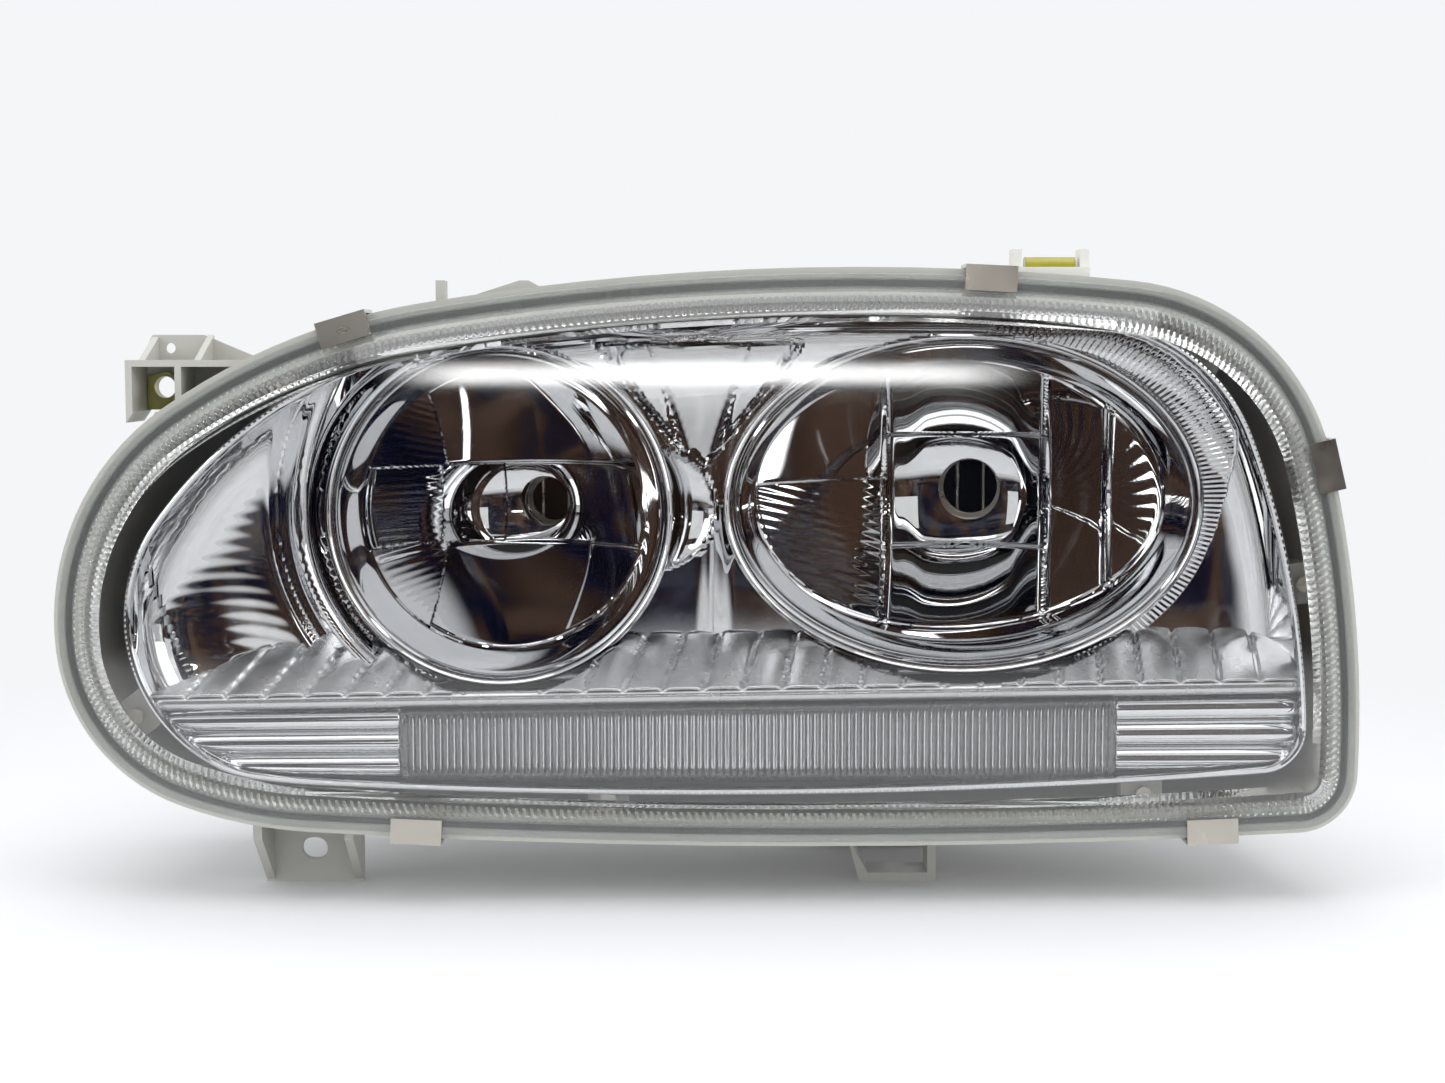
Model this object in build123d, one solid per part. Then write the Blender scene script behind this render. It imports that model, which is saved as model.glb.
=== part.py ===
from build123d import *
import math
import os

import numpy as np

# A twin-bowl car headlight: sealed plastic housing, clear outer lens, chrome trim with two rings,
# a tilting carrier with two reflectors, two aiming screws, a light bar and two rear dust caps.
# Lamp frame while building, in mm: X to the right seen from the front, Y rearward, Z up,
# Y = 0 on the front face of the lens lip. The finished lamp is moved to stand on Z = 0.

# ---------------------------------------------------------------- driving dimensions

lens_width = 431.0
lens_height = 189.0
lens_wall = 3.0
lens_lip = 6.0                # flat lip outside the shoulder
lens_shoulder = 7.5           # width of the sloping fluted band
shoulder_rise = 6.0           # the band's forward rise where the window starts
lens_crown = 17.0             # window's furthest point in front of the lip
window_radius_wide = 2600.0   # curve of the window along X
window_radius_tall = 950.0    # curve of the window along Z
tongue_inset = 2.2
tongue_width = 2.2
tongue_length = 5.0
seal_depth = 1.6
groove_clearance = 0.6

rim_overhang = 2.0            # housing rim stands this far outside the lens
rim_land = 8.0                # inner edge of the rim, inside the lens outline
rim_gap = 0.3
rim_depth = 11.0
housing_wall = 2.5
housing_depth = 96.0          # from the rim's back to the rear wall
housing_draft = 8.5           # how far the walls close in over that depth

bezel_margin_left = 20.4      # trim outline inside the lens outline
bezel_margin_right = 14.9
bezel_margin_bottom = 14.9
bezel_margin_top = 12.6
bezel_wall = 2.0
bezel_front = 6.0
bezel_plate_front = 28.0
ledge_top = -43.8
ledge_thickness = 5.0
ledge_rise = 0.9              # degrees, rising to the right
shelf_rise = 16.0
shelf_thickness = 2.0
tab_width = 14.0
tab_thickness = 2.0
tab_front = 17.0
tab_screw_clearance = 0.6
screw_r = 1.6
screw_head_r = 2.6
screw_length = 11.0

beam_yaw = 8.0                # the beams' axes lean to the right towards the rear
bowl_front = 46.0
bowl_wall = 2.5
bowl_lip = 3.5
bowl_lip_thickness = 3.0
neck_length = 14.0
seat_thickness = 2.0

high_x, high_z = -71.3, 13.7  # centre of the main-beam ring
high_ring_r = 59.5
high_axis_x = -69.5
high_focal = 16.0
high_hole_r = 9.3             # hole in the bowl
high_bulb_r = 8.25            # bore of the bulb seat
high_neck_r = 19.0

low_x, low_z = 86.9, 17.4     # centre of the dipped-beam ring
low_ring_x, low_ring_z = 82.0, 59.0
low_axis_x = 87.0
low_focal = 24.0
low_hole_r = 11.5
low_bulb_r = 10.25
low_neck_r = 21.0

ring_flange = 3.0
ring_flange_thickness = 2.0
ring_wall = 1.6
ring_taper = 7.0              # how far the cone closes in towards the rear
ring_depth = 10.0

frame_thickness = 4.0
web_overlap_high = 1.2        # how far the middle web reaches under each bowl's oval
web_overlap_low = 8.1
aim_setback = 18.0            # pivot and nuts behind the bowls' front
pivot_x, pivot_z = 0.0, -46.0
vertical_adjuster_z = 62.0
horizontal_adjuster_x = 150.0
lug_half = 8.5
ball_r = 6.0
stud_r = 4.0
stud_neck_r = 3.0
socket_r = 10.0
socket_length = 15.0
running_gap = 0.05
adjuster_r = 3.0
nut_clearance = 0.5
nut_r = 6.0
nut_length = 8.0
screw_tip = 8.0               # screw past the nut's centre
knob_r = 9.0
knob_length = 12.0
bush_r = 6.5
bush_flange_r = 9.0
bush_flange = 2.0

turret_wall = 2.5
low_turret_r, low_turret_length = 42.0, 40.0
high_turret_r, high_turret_length = 34.0, 30.0
cap_plate = 2.5
cap_skirt = 10.0
cap_gap = 0.3
cap_seal_width = 4.0
cap_seal_thickness = 1.5
cap_grip_depth = 8.0

clip_wire_r = 0.8
clip_half = 13.0              # half height of the bulb spring
clip_width = 12.0
ear_thickness = 1.6
ear_height = 4.2

louvre_gap = 0.4
light_bar_left, light_bar_right = -103.5, 137.0
light_bar_front = 10.0
strip_thickness = 3.0
bar_wall = 1.8
strip_flutes = 40
louvre_flutes = 3

edge_clip_width = 17.0
edge_clip_thickness = 1.2
edge_clip_leg = 5.0

floor_drop = 21.5             # feet reach this far below the lens
foot_x, foot_width, foot_y = -137.8, 34.0, 34.0
foot_plate = 3.0
slot_width, slot_length = 7.6, 9.0
loop_x, loop_width, loop_depth = 66.0, 27.0, 16.0
rear_foot_x, rear_foot_width = 62.0, 44.0

bracket_inset = 22.0          # bracket's left side, in from the left end of the lens
bracket_drop = 20.0           # bracket's top edge below the top of the lens
bracket_left = -lens_width / 2 + bracket_inset
bracket_right = bracket_left + 44.5
bracket_top = lens_height / 2 - bracket_drop
bracket_shelf = bracket_top - 8.5
bracket_bottom = bracket_shelf - 26.0
bracket_front, bracket_back = 9.0, 32.0
bracket_wall = 2.2
bracket_divider_x = bracket_left + 17.5
bracket_rib_z = bracket_bottom + 7.8
bracket_screw_x, bracket_screw_z = bracket_left + 8.9, bracket_bottom + 16.8
bracket_screw_r = 3.65
bracket_hole_r = 1.8
nut_plate_thickness = 1.6

stop_x = -91.0
stop_top = lens_height / 2 - 2.0
stop_front, stop_back = 16.0, 24.0

level_x, level_length = 114.8, 25.5
level_front, level_depth = 17.0, 12.0
level_drop = 4.0              # gauge's base below the top of the lens
level_base_z = lens_height / 2 - level_drop
level_height = 12.5
vial_r, vial_length = 3.2, 17.0

connector_setoff = 12.7       # connector's middle, out from the high turret's wall
connector_x, connector_z = high_x - high_turret_r - connector_setoff, 12.0
connector_width, connector_height, connector_length = 34.0, 20.0, 18.0
connector_flange = 4.0
connector_floor = 3.0
connector_wall = 2.0
pin_size, pin_length = 1.4, 12.0
pin_columns, pin_rows = 4, 2
vent_places = ((172.0, 26.0), (-40.0, -62.0))
vent_r = 4.0
vent_wall = 2.0
vent_length = 9.0


# ---------------------------------------------------------------- the two outlines

def arc_travel(start, end):
    """X and Z travel along a unit-radius arc between two headings in degrees."""
    a, b = math.radians(start), math.radians(end)
    return np.array([math.sin(b) - math.sin(a), math.cos(a) - math.cos(b)])


class Outline:
    """Closed loop of tangent arcs, anticlockwise seen from the front.

    Each arc is (name, radius, sweep). The four arcs given without a radius get the radii that
    close the loop and make it touch the left, right, bottom and top limits.
    """

    def __init__(self, left, right, bottom, top, heading, arcs):
        self.names = [arc[0] for arc in arcs]
        sweeps = [arc[2] for arc in arcs]
        sweeps.append(360.0 - sum(sweeps[:-1]))
        sweeps.pop(-2)
        self.headings = [heading + sum(sweeps[:i]) for i in range(len(sweeps) + 1)]
        self.radii = [arc[1] for arc in arcs]
        free = [i for i, radius in enumerate(self.radii) if radius is None]

        def equation(until, axis, target):
            row = [1.0 if axis == 0 else 0.0, 1.0 if axis == 1 else 0.0]
            row += [self.travel(i, until)[axis] for i in free]
            fixed = sum(r * self.travel(i, until)[axis] for i, r in enumerate(self.radii) if r)
            return row, target - fixed

        rows = [equation(0, 1, bottom), equation(90, 0, right)]
        rows += [equation(180, 1, top), equation(270, 0, left)]
        for axis in (0, 1):
            row, rest = equation(heading + 360, axis, 0.0)
            row[axis] = 0.0
            rows.append((row, rest))
        answer = np.linalg.solve([row for row, _ in rows], [rest for _, rest in rows])
        self.start = answer[:2]
        for i, radius in zip(free, answer[2:]):
            self.radii[i] = float(radius)

    def travel(self, i, until=math.inf):
        start, end = self.headings[i], self.headings[i + 1]
        return arc_travel(min(start, until), min(end, until))

    def place(self, heading, inset=0.0):
        """Point of the loop, moved inward by inset, where it runs along a heading."""
        point = np.array(self.start)
        for i, radius in enumerate(self.radii):
            point = point + radius * self.travel(i, heading)
        angle = math.radians(heading)
        return point + inset * np.array([-math.sin(angle), math.cos(angle)])

    def heading(self, name, share):
        i = self.names.index(name)
        return self.headings[i] + share * (self.headings[i + 1] - self.headings[i])

    def plane(self, name, share):
        """Local frame on the loop: x along it, y inward, z forward."""
        heading = self.heading(name, share)
        x, z = self.place(heading)
        angle = math.radians(heading)
        return Plane((x, 0, z), x_dir=(math.cos(angle), 0, math.sin(angle)), z_dir=(0, -1, 0))

    def face(self, inset, y):
        edges = []
        for start, end in zip(self.headings, self.headings[1:]):
            points = [self.place(h, inset) for h in (start, (start + end) / 2, end)]
            if end == self.headings[-1]:
                points[2] = self.place(self.headings[0], inset)
            edges.append(ThreePointArc(*[(p[0], y, p[1]) for p in points]))
        return make_face(edges)

    def prism(self, inset, y0, y1):
        return extrude(self.face(inset, y0), amount=y1 - y0, dir=(0, 1, 0))

    def cone(self, inset0, y0, inset1, y1):
        return loft([self.face(inset0, y0), self.face(inset1, y1)], ruled=True)


lens_outline = Outline(
    -lens_width / 2, lens_width / 2, -lens_height / 2, lens_height / 2, -3.3,
    [("bottom", None, 6.5), ("bottom right", 18.2, 85.0), ("right", None, 16.0),
     ("top right", 74.0, 70.0), ("top", None, 15.2), ("upper left", 207.0, 25.3),
     ("left", None, 61.3), ("lower left", 60.0, 63.5), ("heel", 145.0, None)],
)
bezel_outline = Outline(
    -lens_width / 2 + bezel_margin_left, lens_width / 2 - bezel_margin_right,
    -lens_height / 2 + bezel_margin_bottom, lens_height / 2 - bezel_margin_top, -3.0,
    [("bottom", None, 7.4), ("bottom right", 15.5, 87.5), ("right", None, 19.5),
     ("top right", 63.0, 66.0), ("top", None, 9.0), ("upper left", 150.0, 48.2),
     ("left", None, 97.5), ("lower left", 38.0, 19.0), ("heel", 197.0, None)],
)


# ---------------------------------------------------------------- shared shapes

def span(x0, x1, y0, y1, z0, z1):
    """Box between pairs of limits."""
    centre = ((x0 + x1) / 2, (y0 + y1) / 2, (z0 + z1) / 2)
    return Pos(*centre) * Box(x1 - x0, y1 - y0, z1 - z0)


def rod(x, z, radius, y0, y1):
    """Cylinder along Y."""
    return Plane((x, y0, z), x_dir=(1, 0, 0), z_dir=(0, 1, 0)) * Cylinder(
        radius, y1 - y0, align=(Align.CENTER, Align.CENTER, Align.MIN))


def tube(x, z, outer, inner, y0, y1):
    return rod(x, z, outer, y0, y1) - rod(x, z, inner, y0, y1)


def oval(x, z, radius_x, radius_z, y0, y1):
    """Elliptic prism along Y."""
    sketch = Plane((x, y0, z), x_dir=(1, 0, 0), z_dir=(0, -1, 0)) * Ellipse(radius_x, radius_z)
    return extrude(sketch, amount=y1 - y0, dir=(0, 1, 0))


def oval_cone(x, z, front, back, y0, y1):
    """Ruled cone between two ellipses, each (radius_x, radius_z)."""
    planes = [Plane((x, y, z), x_dir=(1, 0, 0), z_dir=(0, -1, 0)) for y in (y0, y1)]
    return loft([planes[0] * Ellipse(*front), planes[1] * Ellipse(*back)])


# ---------------------------------------------------------------- stations along Y

rim_front = lens_wall + rim_gap
rim_back = rim_front + rim_depth
rear_y = rim_back + housing_depth
rear_inner_y = rear_y - housing_wall
bezel_back = bezel_plate_front + bezel_wall
ring_front = bezel_plate_front - ring_flange_thickness
frame_front = bowl_front + bowl_lip_thickness
frame_back = frame_front + frame_thickness
aim_y = bowl_front + aim_setback
floor_z = -lens_height / 2 - floor_drop
slope = housing_draft / housing_depth


def wall_inset(y):
    """Inset of the housing's inner face at a depth."""
    return rim_land + slope * (y - rim_back)


# ---------------------------------------------------------------- outer lens and its seal

def make_lens():
    shoulder_inset = lens_lip + lens_shoulder
    reach = lens_crown + lens_wall

    def bulge(offset):
        """Window's barrel-shaped solid: a wide arc turned about an axis along X."""
        front = offset - lens_crown
        half = lens_width
        sag = window_radius_wide - math.sqrt(window_radius_wide ** 2 - half ** 2)
        arc = ThreePointArc((-half, front + sag, 0), (0, front, 0), (half, front + sag, 0))
        back = front + window_radius_tall
        sides = Polyline((half, front + sag, 0), (half, back, 0), (-half, back, 0),
                         (-half, front + sag, 0))
        profile = make_face([arc, *sides.edges()])
        axis = Axis((0, back, 0), (1, 0, 0))
        swing = math.degrees(lens_height / window_radius_tall)
        return revolve(profile.rotate(axis, -swing / 2), axis, swing)

    def crown(inset, offset):
        """Shoulder and window as one solid, inset and set back for the inner face."""
        band = lens_outline.cone(lens_lip + inset, offset, shoulder_inset + inset,
                                 offset - shoulder_rise)
        window = lens_outline.cone(shoulder_inset + inset, offset - shoulder_rise,
                                   shoulder_inset + inset + 0.8, -reach)
        return band + (window & bulge(offset))

    plate = lens_outline.prism(0, 0, lens_wall)
    tongue = lens_outline.prism(tongue_inset, lens_wall, lens_wall + tongue_length)
    tongue -= lens_outline.prism(tongue_inset + tongue_width, lens_wall,
                                 lens_wall + tongue_length)
    inner = crown(lens_wall, lens_wall) + lens_outline.prism(lens_lip + lens_wall, 0, lens_wall)
    return plate + crown(0, 0) + tongue - inner


def groove(extra, y0, y1):
    """Ring that holds the lens tongue, wider than it by extra on each side."""
    outer = lens_outline.prism(tongue_inset - extra, y0, y1)
    return outer - lens_outline.prism(tongue_inset + tongue_width + extra, y0, y1)


tongue_end = lens_wall + tongue_length


def make_seal():
    return groove(groove_clearance, tongue_end, tongue_end + seal_depth)


# ---------------------------------------------------------------- housing

trim_tabs = (("bottom", 0.3), ("bottom", 0.85), ("right", 0.6), ("top right", 0.6),
             ("upper left", 0.6), ("lower left", 0.5))
edge_clips = (("bottom", 0.11), ("bottom", 0.91), ("right", 0.97), ("top", 0.2),
              ("upper left", 0.28))


def turret_places():
    """Each rear opening as (x, z, inner radius, length)."""
    lean = math.tan(math.radians(beam_yaw))
    run = rear_y - bezel_plate_front
    return ((high_axis_x + lean * run, high_z, high_turret_r, high_turret_length),
            (low_axis_x + lean * run, low_z, low_turret_r, low_turret_length))


def adjuster_places():
    return ((pivot_x, vertical_adjuster_z), (horizontal_adjuster_x, pivot_z))


def make_shell():
    """Rim with its groove, drafted body, rear wall and the turrets round the bulbs."""
    rim = lens_outline.prism(-rim_overhang, rim_front, rim_back)
    outer_inset = rim_land - housing_wall
    body = rim + lens_outline.cone(outer_inset, rim_back, outer_inset + housing_draft, rear_y)
    turrets = turret_places()
    for x, z, radius, length in turrets:
        body += rod(x, z, radius + turret_wall, rear_y - housing_wall, rear_y + length)
    body -= lens_outline.prism(rim_land, rim_front, rim_back)
    body -= lens_outline.cone(rim_land, rim_back, wall_inset(rear_inner_y), rear_inner_y)
    for x, z, radius, length in turrets:
        body -= rod(x, z, radius, rear_y - 2 * housing_wall, rear_y + length)
    return body


def tab_block(place, near, far, y0, y1):
    """Block on the lens outline at a place, between two insets and two depths."""
    plane = lens_outline.plane(*place)
    return plane.location * span(-tab_width / 2, tab_width / 2, near, far, -y1, -y0)


def tab_screw_location(place):
    inset = rim_land + tab_screw_clearance + screw_head_r
    return lens_outline.plane(*place).location * Pos(0, inset, 0)


def upright_plate(corners, y0, y1):
    """Flat plate square to Y with the given (x, z) corners."""
    face = make_face(Polyline(*[(x, y0, z) for x, z in corners], close=True))
    return extrude(face, amount=y1 - y0, dir=(0, 1, 0))


def make_bracket():
    """Upper left bracket: open cells, shelf, back plate and two slanted ribs."""
    w = bracket_wall
    front, back = bracket_front, bracket_back
    block = span(bracket_left, bracket_right, front, back, bracket_bottom, bracket_shelf)
    cells = span(bracket_left + w, bracket_divider_x - w / 2, front, back - w,
                 bracket_rib_z + w / 2, bracket_shelf - w)
    cells += span(bracket_divider_x + w / 2, bracket_right, front, back - w,
                  bracket_rib_z + w / 2, bracket_shelf - w)
    cells += span(bracket_left + w, bracket_right, front, back - w,
                  bracket_bottom, bracket_rib_z - w / 2)
    block -= cells
    corners = [(bracket_left, bracket_shelf), (bracket_left + 4, bracket_top),
               (bracket_divider_x + 4, bracket_top), (bracket_right - 3, bracket_shelf)]
    plate = upright_plate(corners, back - w, back)
    plate -= rod(bracket_left + 10, bracket_top - 4.5, bracket_hole_r, back - w - 1, back + 1)
    for x in (bracket_left + 4, bracket_divider_x + 5):
        points = [(x, front + 2, bracket_shelf - 0.1), (x, back - 0.5, bracket_shelf - 0.1),
                  (x, back - 0.5, bracket_top)]
        plate += extrude(make_face(Polyline(*points, close=True)), amount=w, dir=(1, 0, 0))
    corner = Pos(bracket_left, (front + back) / 2, bracket_bottom) * Rot(0, 35, 0) * Box(
        6, back - front + 2, 30)
    return block + plate - corner


def make_foot(x, width, y):
    """Foot plate square to Y with a slot, and two gussets running forward from it."""
    top = -lens_height / 2 + rim_land + 2
    plate = span(x - width / 2, x + width / 2, y, y + foot_plate, floor_z, top)
    gusset = [(0, y + 1, floor_z), (0, y + 1, top), (0, rim_back - 1, top),
              (0, rim_back - 1, -lens_height / 2 - 2)]
    for side in (x - width / 2, x + width / 2 - foot_plate):
        flat = make_face(Polyline(*gusset, close=True))
        plate += Pos(side, 0, 0) * extrude(flat, amount=foot_plate, dir=(1, 0, 0))
    slot = Plane((x, y - 1, (floor_z - lens_height / 2) / 2 + 1), x_dir=(1, 0, 0),
                 z_dir=(0, 1, 0)) * SlotOverall(slot_length, slot_width)
    return plate - extrude(slot, amount=foot_plate + 2, dir=(0, 1, 0))


def make_loop():
    """Trapezoid loop under the middle of the lamp."""
    top = -lens_height / 2 + rim_land + 2
    y0, y1 = foot_y, foot_y + loop_depth
    half = loop_width / 2

    def wedge(grow, z_low, z_high):
        points = [(loop_x - half - 8 + grow, y0, z_high), (loop_x - half + grow, y0, z_low),
                  (loop_x + half - grow, y0, z_low), (loop_x + half - grow, y0, z_high)]
        return extrude(make_face(Polyline(*points, close=True)), amount=y1 - y0, dir=(0, 1, 0))

    return wedge(0, floor_z, top) - wedge(3, floor_z + 3, -lens_height / 2 - 4)


def make_rear_foot():
    """Support under the rear of the body: two ribs on a foot plate with a slot."""
    y0, y1 = rear_y - 22, rear_y
    top = -lens_height / 2 + rim_land + housing_draft + 6
    left, right = rear_foot_x - rear_foot_width / 2, rear_foot_x + rear_foot_width / 2
    foot = span(left, right, y0, y1, floor_z, floor_z + foot_plate)
    for x in (left, rear_foot_x - foot_plate / 2, right - foot_plate):
        foot += span(x, x + foot_plate, y0, y1, floor_z, top)
    return foot


def make_top_stop():
    """Post and sloping wedge on top of the housing, left of the middle."""
    root = stop_top - 22.0
    post = span(stop_x, stop_x + 3, stop_front, stop_back, root, stop_top)
    wedge = [(stop_x + 3, root), (stop_x + 3, stop_top - 8), (stop_x + 28, stop_top),
             (stop_x + 31, stop_top), (stop_x + 39, stop_top - 4.5), (stop_x + 39, root)]
    return post + upright_plate(wedge, stop_front, stop_back)


def make_housing():
    body = make_shell()
    outside = make_bracket() + make_foot(foot_x, foot_width, foot_y) + make_loop()
    outside += make_rear_foot()
    outside += span(level_x - level_length / 2 - 2, level_x + level_length / 2 + 2,
                    level_front - 1, level_front + level_depth + 1, level_base_z - 14, level_base_z)
    outside += make_top_stop()
    cavity = lens_outline.prism(rim_land, rim_front, rim_back)
    cavity += lens_outline.cone(rim_land, rim_back, wall_inset(rear_inner_y), rear_inner_y)
    body += outside - cavity
    body -= groove(groove_clearance, rim_front, tongue_end + seal_depth)
    for place in trim_tabs:
        boss = tab_block(place, rim_land - 1, bezel_margin_bottom + 2, tab_front + tab_thickness,
                         tab_front + tab_thickness + screw_length)
        body += boss - bezel_outline.prism(-0.5, bezel_front, 60)
        hole = Cylinder(screw_r, 2 * screw_length)
        body -= tab_screw_location(place) * Pos(0, 0, -tab_front - tab_thickness) * hole
    for x, z in adjuster_places():
        body -= rod(x, z, bush_r, rear_inner_y - 1, rear_y + 1)
    body += rod(pivot_x, pivot_z, stud_r + 4, rear_inner_y - 6, rear_y)
    body -= rod(pivot_x, pivot_z, stud_r, rear_inner_y - 7, rear_y + 1)
    for x, z in vent_places:
        body += tube(x, z, vent_r, vent_r - 1.5, rear_y - 1, rear_y + vent_length)
        body -= rod(x, z, vent_r - 1.5, rear_inner_y - 1, rear_y + 1)
    half_w, half_h = connector_width / 2 - 6, connector_height / 2 - 5
    body -= span(connector_x - half_w, connector_x + half_w, rear_inner_y - 1, rear_y + 1,
                 connector_z - half_h, connector_z + half_h)
    body -= rod(bracket_screw_x, bracket_screw_z, bracket_screw_r, bracket_back - 4,
                bracket_back + 2)
    return body


def make_bracket_plate():
    """Zinc-plated nut plate at the back of the bracket's left cell."""
    w = bracket_wall
    back = bracket_back - w
    gap = 0.2
    plate = span(bracket_left + w + gap, bracket_divider_x - w / 2 - gap,
                 back - nut_plate_thickness, back,
                 bracket_rib_z + w / 2 + gap, bracket_shelf - w - 3)
    plate += rod(bracket_screw_x, bracket_screw_z, bracket_screw_r + 1.4,
                 back - nut_plate_thickness - 2, back)
    return plate - rod(bracket_screw_x, bracket_screw_z, bracket_screw_r, back - 8, back + 1)


def make_edge_clips():
    """Spring-steel clips that clamp the lens lip to the housing rim."""
    t = edge_clip_thickness
    outside = -rim_overhang - 0.3
    half = edge_clip_width / 2
    solids = []
    for place in edge_clips:
        clip = span(-half, half, outside - t, outside, -rim_back - t, t)
        clip += span(-half, half, outside - t, edge_clip_leg, 0, t)
        clip += span(-half, half, outside - t, rim_land - housing_wall - 1.5, -rim_back - t,
                     -rim_back)
        solids.append(lens_outline.plane(*place).location * clip)
    return solids


# ---------------------------------------------------------------- chrome trim

def ring_sizes():
    """Each ring as (x, z, radius_x, radius_z) of its flange."""
    return ((high_x, high_z, high_ring_r, high_ring_r), (low_x, low_z, low_ring_x, low_ring_z))


def below_ledge(drop, y0, y1):
    """Everything under the sloping ledge line, lowered by drop."""
    block = span(-lens_width, lens_width, y0, y1, -2 * lens_height, -drop)
    return Pos(0, 0, ledge_top) * Rot(0, -ledge_rise, 0) * block


def make_bezel():
    inside = bezel_outline.prism(bezel_wall, bezel_front, bezel_plate_front)
    trim = bezel_outline.prism(0, bezel_front, bezel_back) - inside
    ledge = below_ledge(0, bezel_front + 2, bezel_plate_front)
    ledge -= below_ledge(ledge_thickness, bezel_front + 2, bezel_plate_front)
    run = bezel_plate_front - bezel_front - 2
    profile = [(0, bezel_front + 2, -shelf_thickness), (0, bezel_plate_front, shelf_rise),
               (0, bezel_plate_front, shelf_rise + shelf_thickness), (0, bezel_front + 2, 0)]
    shelf = extrude(make_face(Polyline(*profile, close=True)), amount=lens_width, both=True,
                    dir=(1, 0, 0))
    shelf = Pos(0, 0, ledge_top) * Rot(0, -ledge_rise, 0) * shelf
    trim += (ledge + shelf) & bezel_outline.prism(bezel_wall / 2, bezel_front, bezel_plate_front)
    for x, z, rx, rz in ring_sizes():
        trim -= oval(x, z, rx + 0.6, rz + 0.6, bezel_front - run, bezel_plate_front)
        trim -= oval(x, z, rx - ring_flange + 0.3, rz - ring_flange + 0.3, bezel_front, bezel_back)
    for place in trim_tabs:
        tab = tab_block(place, rim_land + 1.2, bezel_margin_left + 3, tab_front,
                        tab_front + tab_thickness)
        trim += tab - bezel_outline.prism(bezel_wall / 2, 0, bezel_back)
        hole = Cylinder(screw_r, 4 * tab_thickness)
        trim -= tab_screw_location(place) * Pos(0, 0, -tab_front) * hole
    return trim


def make_trim_screws():
    solids = []
    for place in trim_tabs:
        shank = Pos(0, 0, -screw_length / 2) * Cylinder(screw_r, screw_length)
        head = Pos(0, 0, 1) * Cylinder(screw_head_r, 2)
        head -= Pos(0, 0, 2) * Box(1, 2 * screw_head_r, 1.2)
        solids.append(tab_screw_location(place) * Pos(0, 0, -tab_front) * (shank + head))
    return solids


def make_ring(x, z, rx, rz):
    """Chrome ring: flat flange on the trim and a cone reaching back to the bowl."""
    inner = (rx - ring_flange - ring_wall, rz - ring_flange - ring_wall)
    outer = (rx - ring_flange, rz - ring_flange)
    back = bezel_plate_front + ring_depth
    closed = tuple(value - ring_taper for value in outer)
    opened = tuple(value - ring_taper for value in inner)
    body = oval(x, z, rx, rz, ring_front, bezel_plate_front)
    body += oval_cone(x, z, outer, closed, bezel_plate_front - 0.5, back)
    body -= oval(x, z, *inner, ring_front - 1, bezel_plate_front - 0.5)
    return body - oval_cone(x, z, inner, opened, bezel_plate_front - 0.5, back)


# ---------------------------------------------------------------- light bar

def bar_space(y0, y1, wall=0.0):
    """Room for the light bar under the ledge, inside the trim, less a wall all round."""
    room = bezel_outline.prism(bezel_wall + louvre_gap + wall, y0, y1)
    return room & below_ledge(ledge_thickness + louvre_gap + wall, y0, y1)


def bar_heights():
    """Lowest and highest Z of the light bar at its middle."""
    low = -lens_height / 2 + bezel_margin_bottom + bezel_wall + louvre_gap
    return low, ledge_top - ledge_thickness - louvre_gap


def make_strip():
    """Clear strip with upright flutes on its rear face."""
    low, high = bar_heights()
    back = light_bar_front + strip_thickness
    strip = bar_space(light_bar_front, back)
    strip &= span(light_bar_left, light_bar_right, light_bar_front, back, -lens_height, 0)
    pitch = (light_bar_right - light_bar_left) / strip_flutes
    flutes = [Pos(light_bar_left + (i + 0.5) * pitch, back, (low + high) / 2) * Cylinder(
        pitch * 0.35, 2 * (high - low)) for i in range(strip_flutes)]
    return strip - flutes


def make_bar_reflector():
    """Tray behind the strip, open to the front."""
    front = light_bar_front + strip_thickness
    wall = bar_wall
    tray = bar_space(front, bezel_plate_front)
    tray &= span(light_bar_left, light_bar_right, 0, 60, -lens_height, 0)
    pocket = bar_space(front, bezel_plate_front - wall, wall)
    pocket &= span(light_bar_left + wall, light_bar_right - wall, 0, 60, -lens_height, 0)
    return tray - pocket


def make_louvre(x0, x1):
    """Chrome block at one end of the light bar with level flutes across its front."""
    low, high = bar_heights()
    block = bar_space(light_bar_front + 1, bezel_plate_front)
    block &= span(x0, x1, 0, 60, -lens_height, 0)
    pitch = (high - low) / louvre_flutes
    for i in range(louvre_flutes):
        z = low + (i + 0.5) * pitch
        cut = Pos((x0 + x1) / 2, light_bar_front, z) * Rot(0, 90, 0) * Cylinder(
            pitch * 0.42, x1 - x0 + 2)
        block -= cut
    return block


# ---------------------------------------------------------------- reflectors and their frame

def beam_plane(axis_x, z):
    """Local frame on a beam's axis: z forward along the beam."""
    yaw = math.radians(beam_yaw)
    return Plane((axis_x, bezel_plate_front, z), x_dir=(math.cos(yaw), -math.sin(yaw), 0),
                 z_dir=(-math.sin(yaw), -math.cos(yaw), 0))


def bowl_sizes(ring_x, ring_z):
    """Half width and half height of a bowl's opening behind its ring."""
    shrink = ring_flange + ring_taper - 0.5
    return ring_x - shrink, ring_z - shrink


def apex_depth(axis_x, ring_x, centre_x, focal):
    """Distance of the bowl's deepest point behind the trim plate, along the beam."""
    reach = bowl_sizes(ring_x, ring_x)[0] + abs(axis_x - centre_x) + 2
    gap = (bowl_front - bezel_plate_front) / math.cos(math.radians(beam_yaw))
    return gap + reach ** 2 / (4 * focal)


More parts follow.
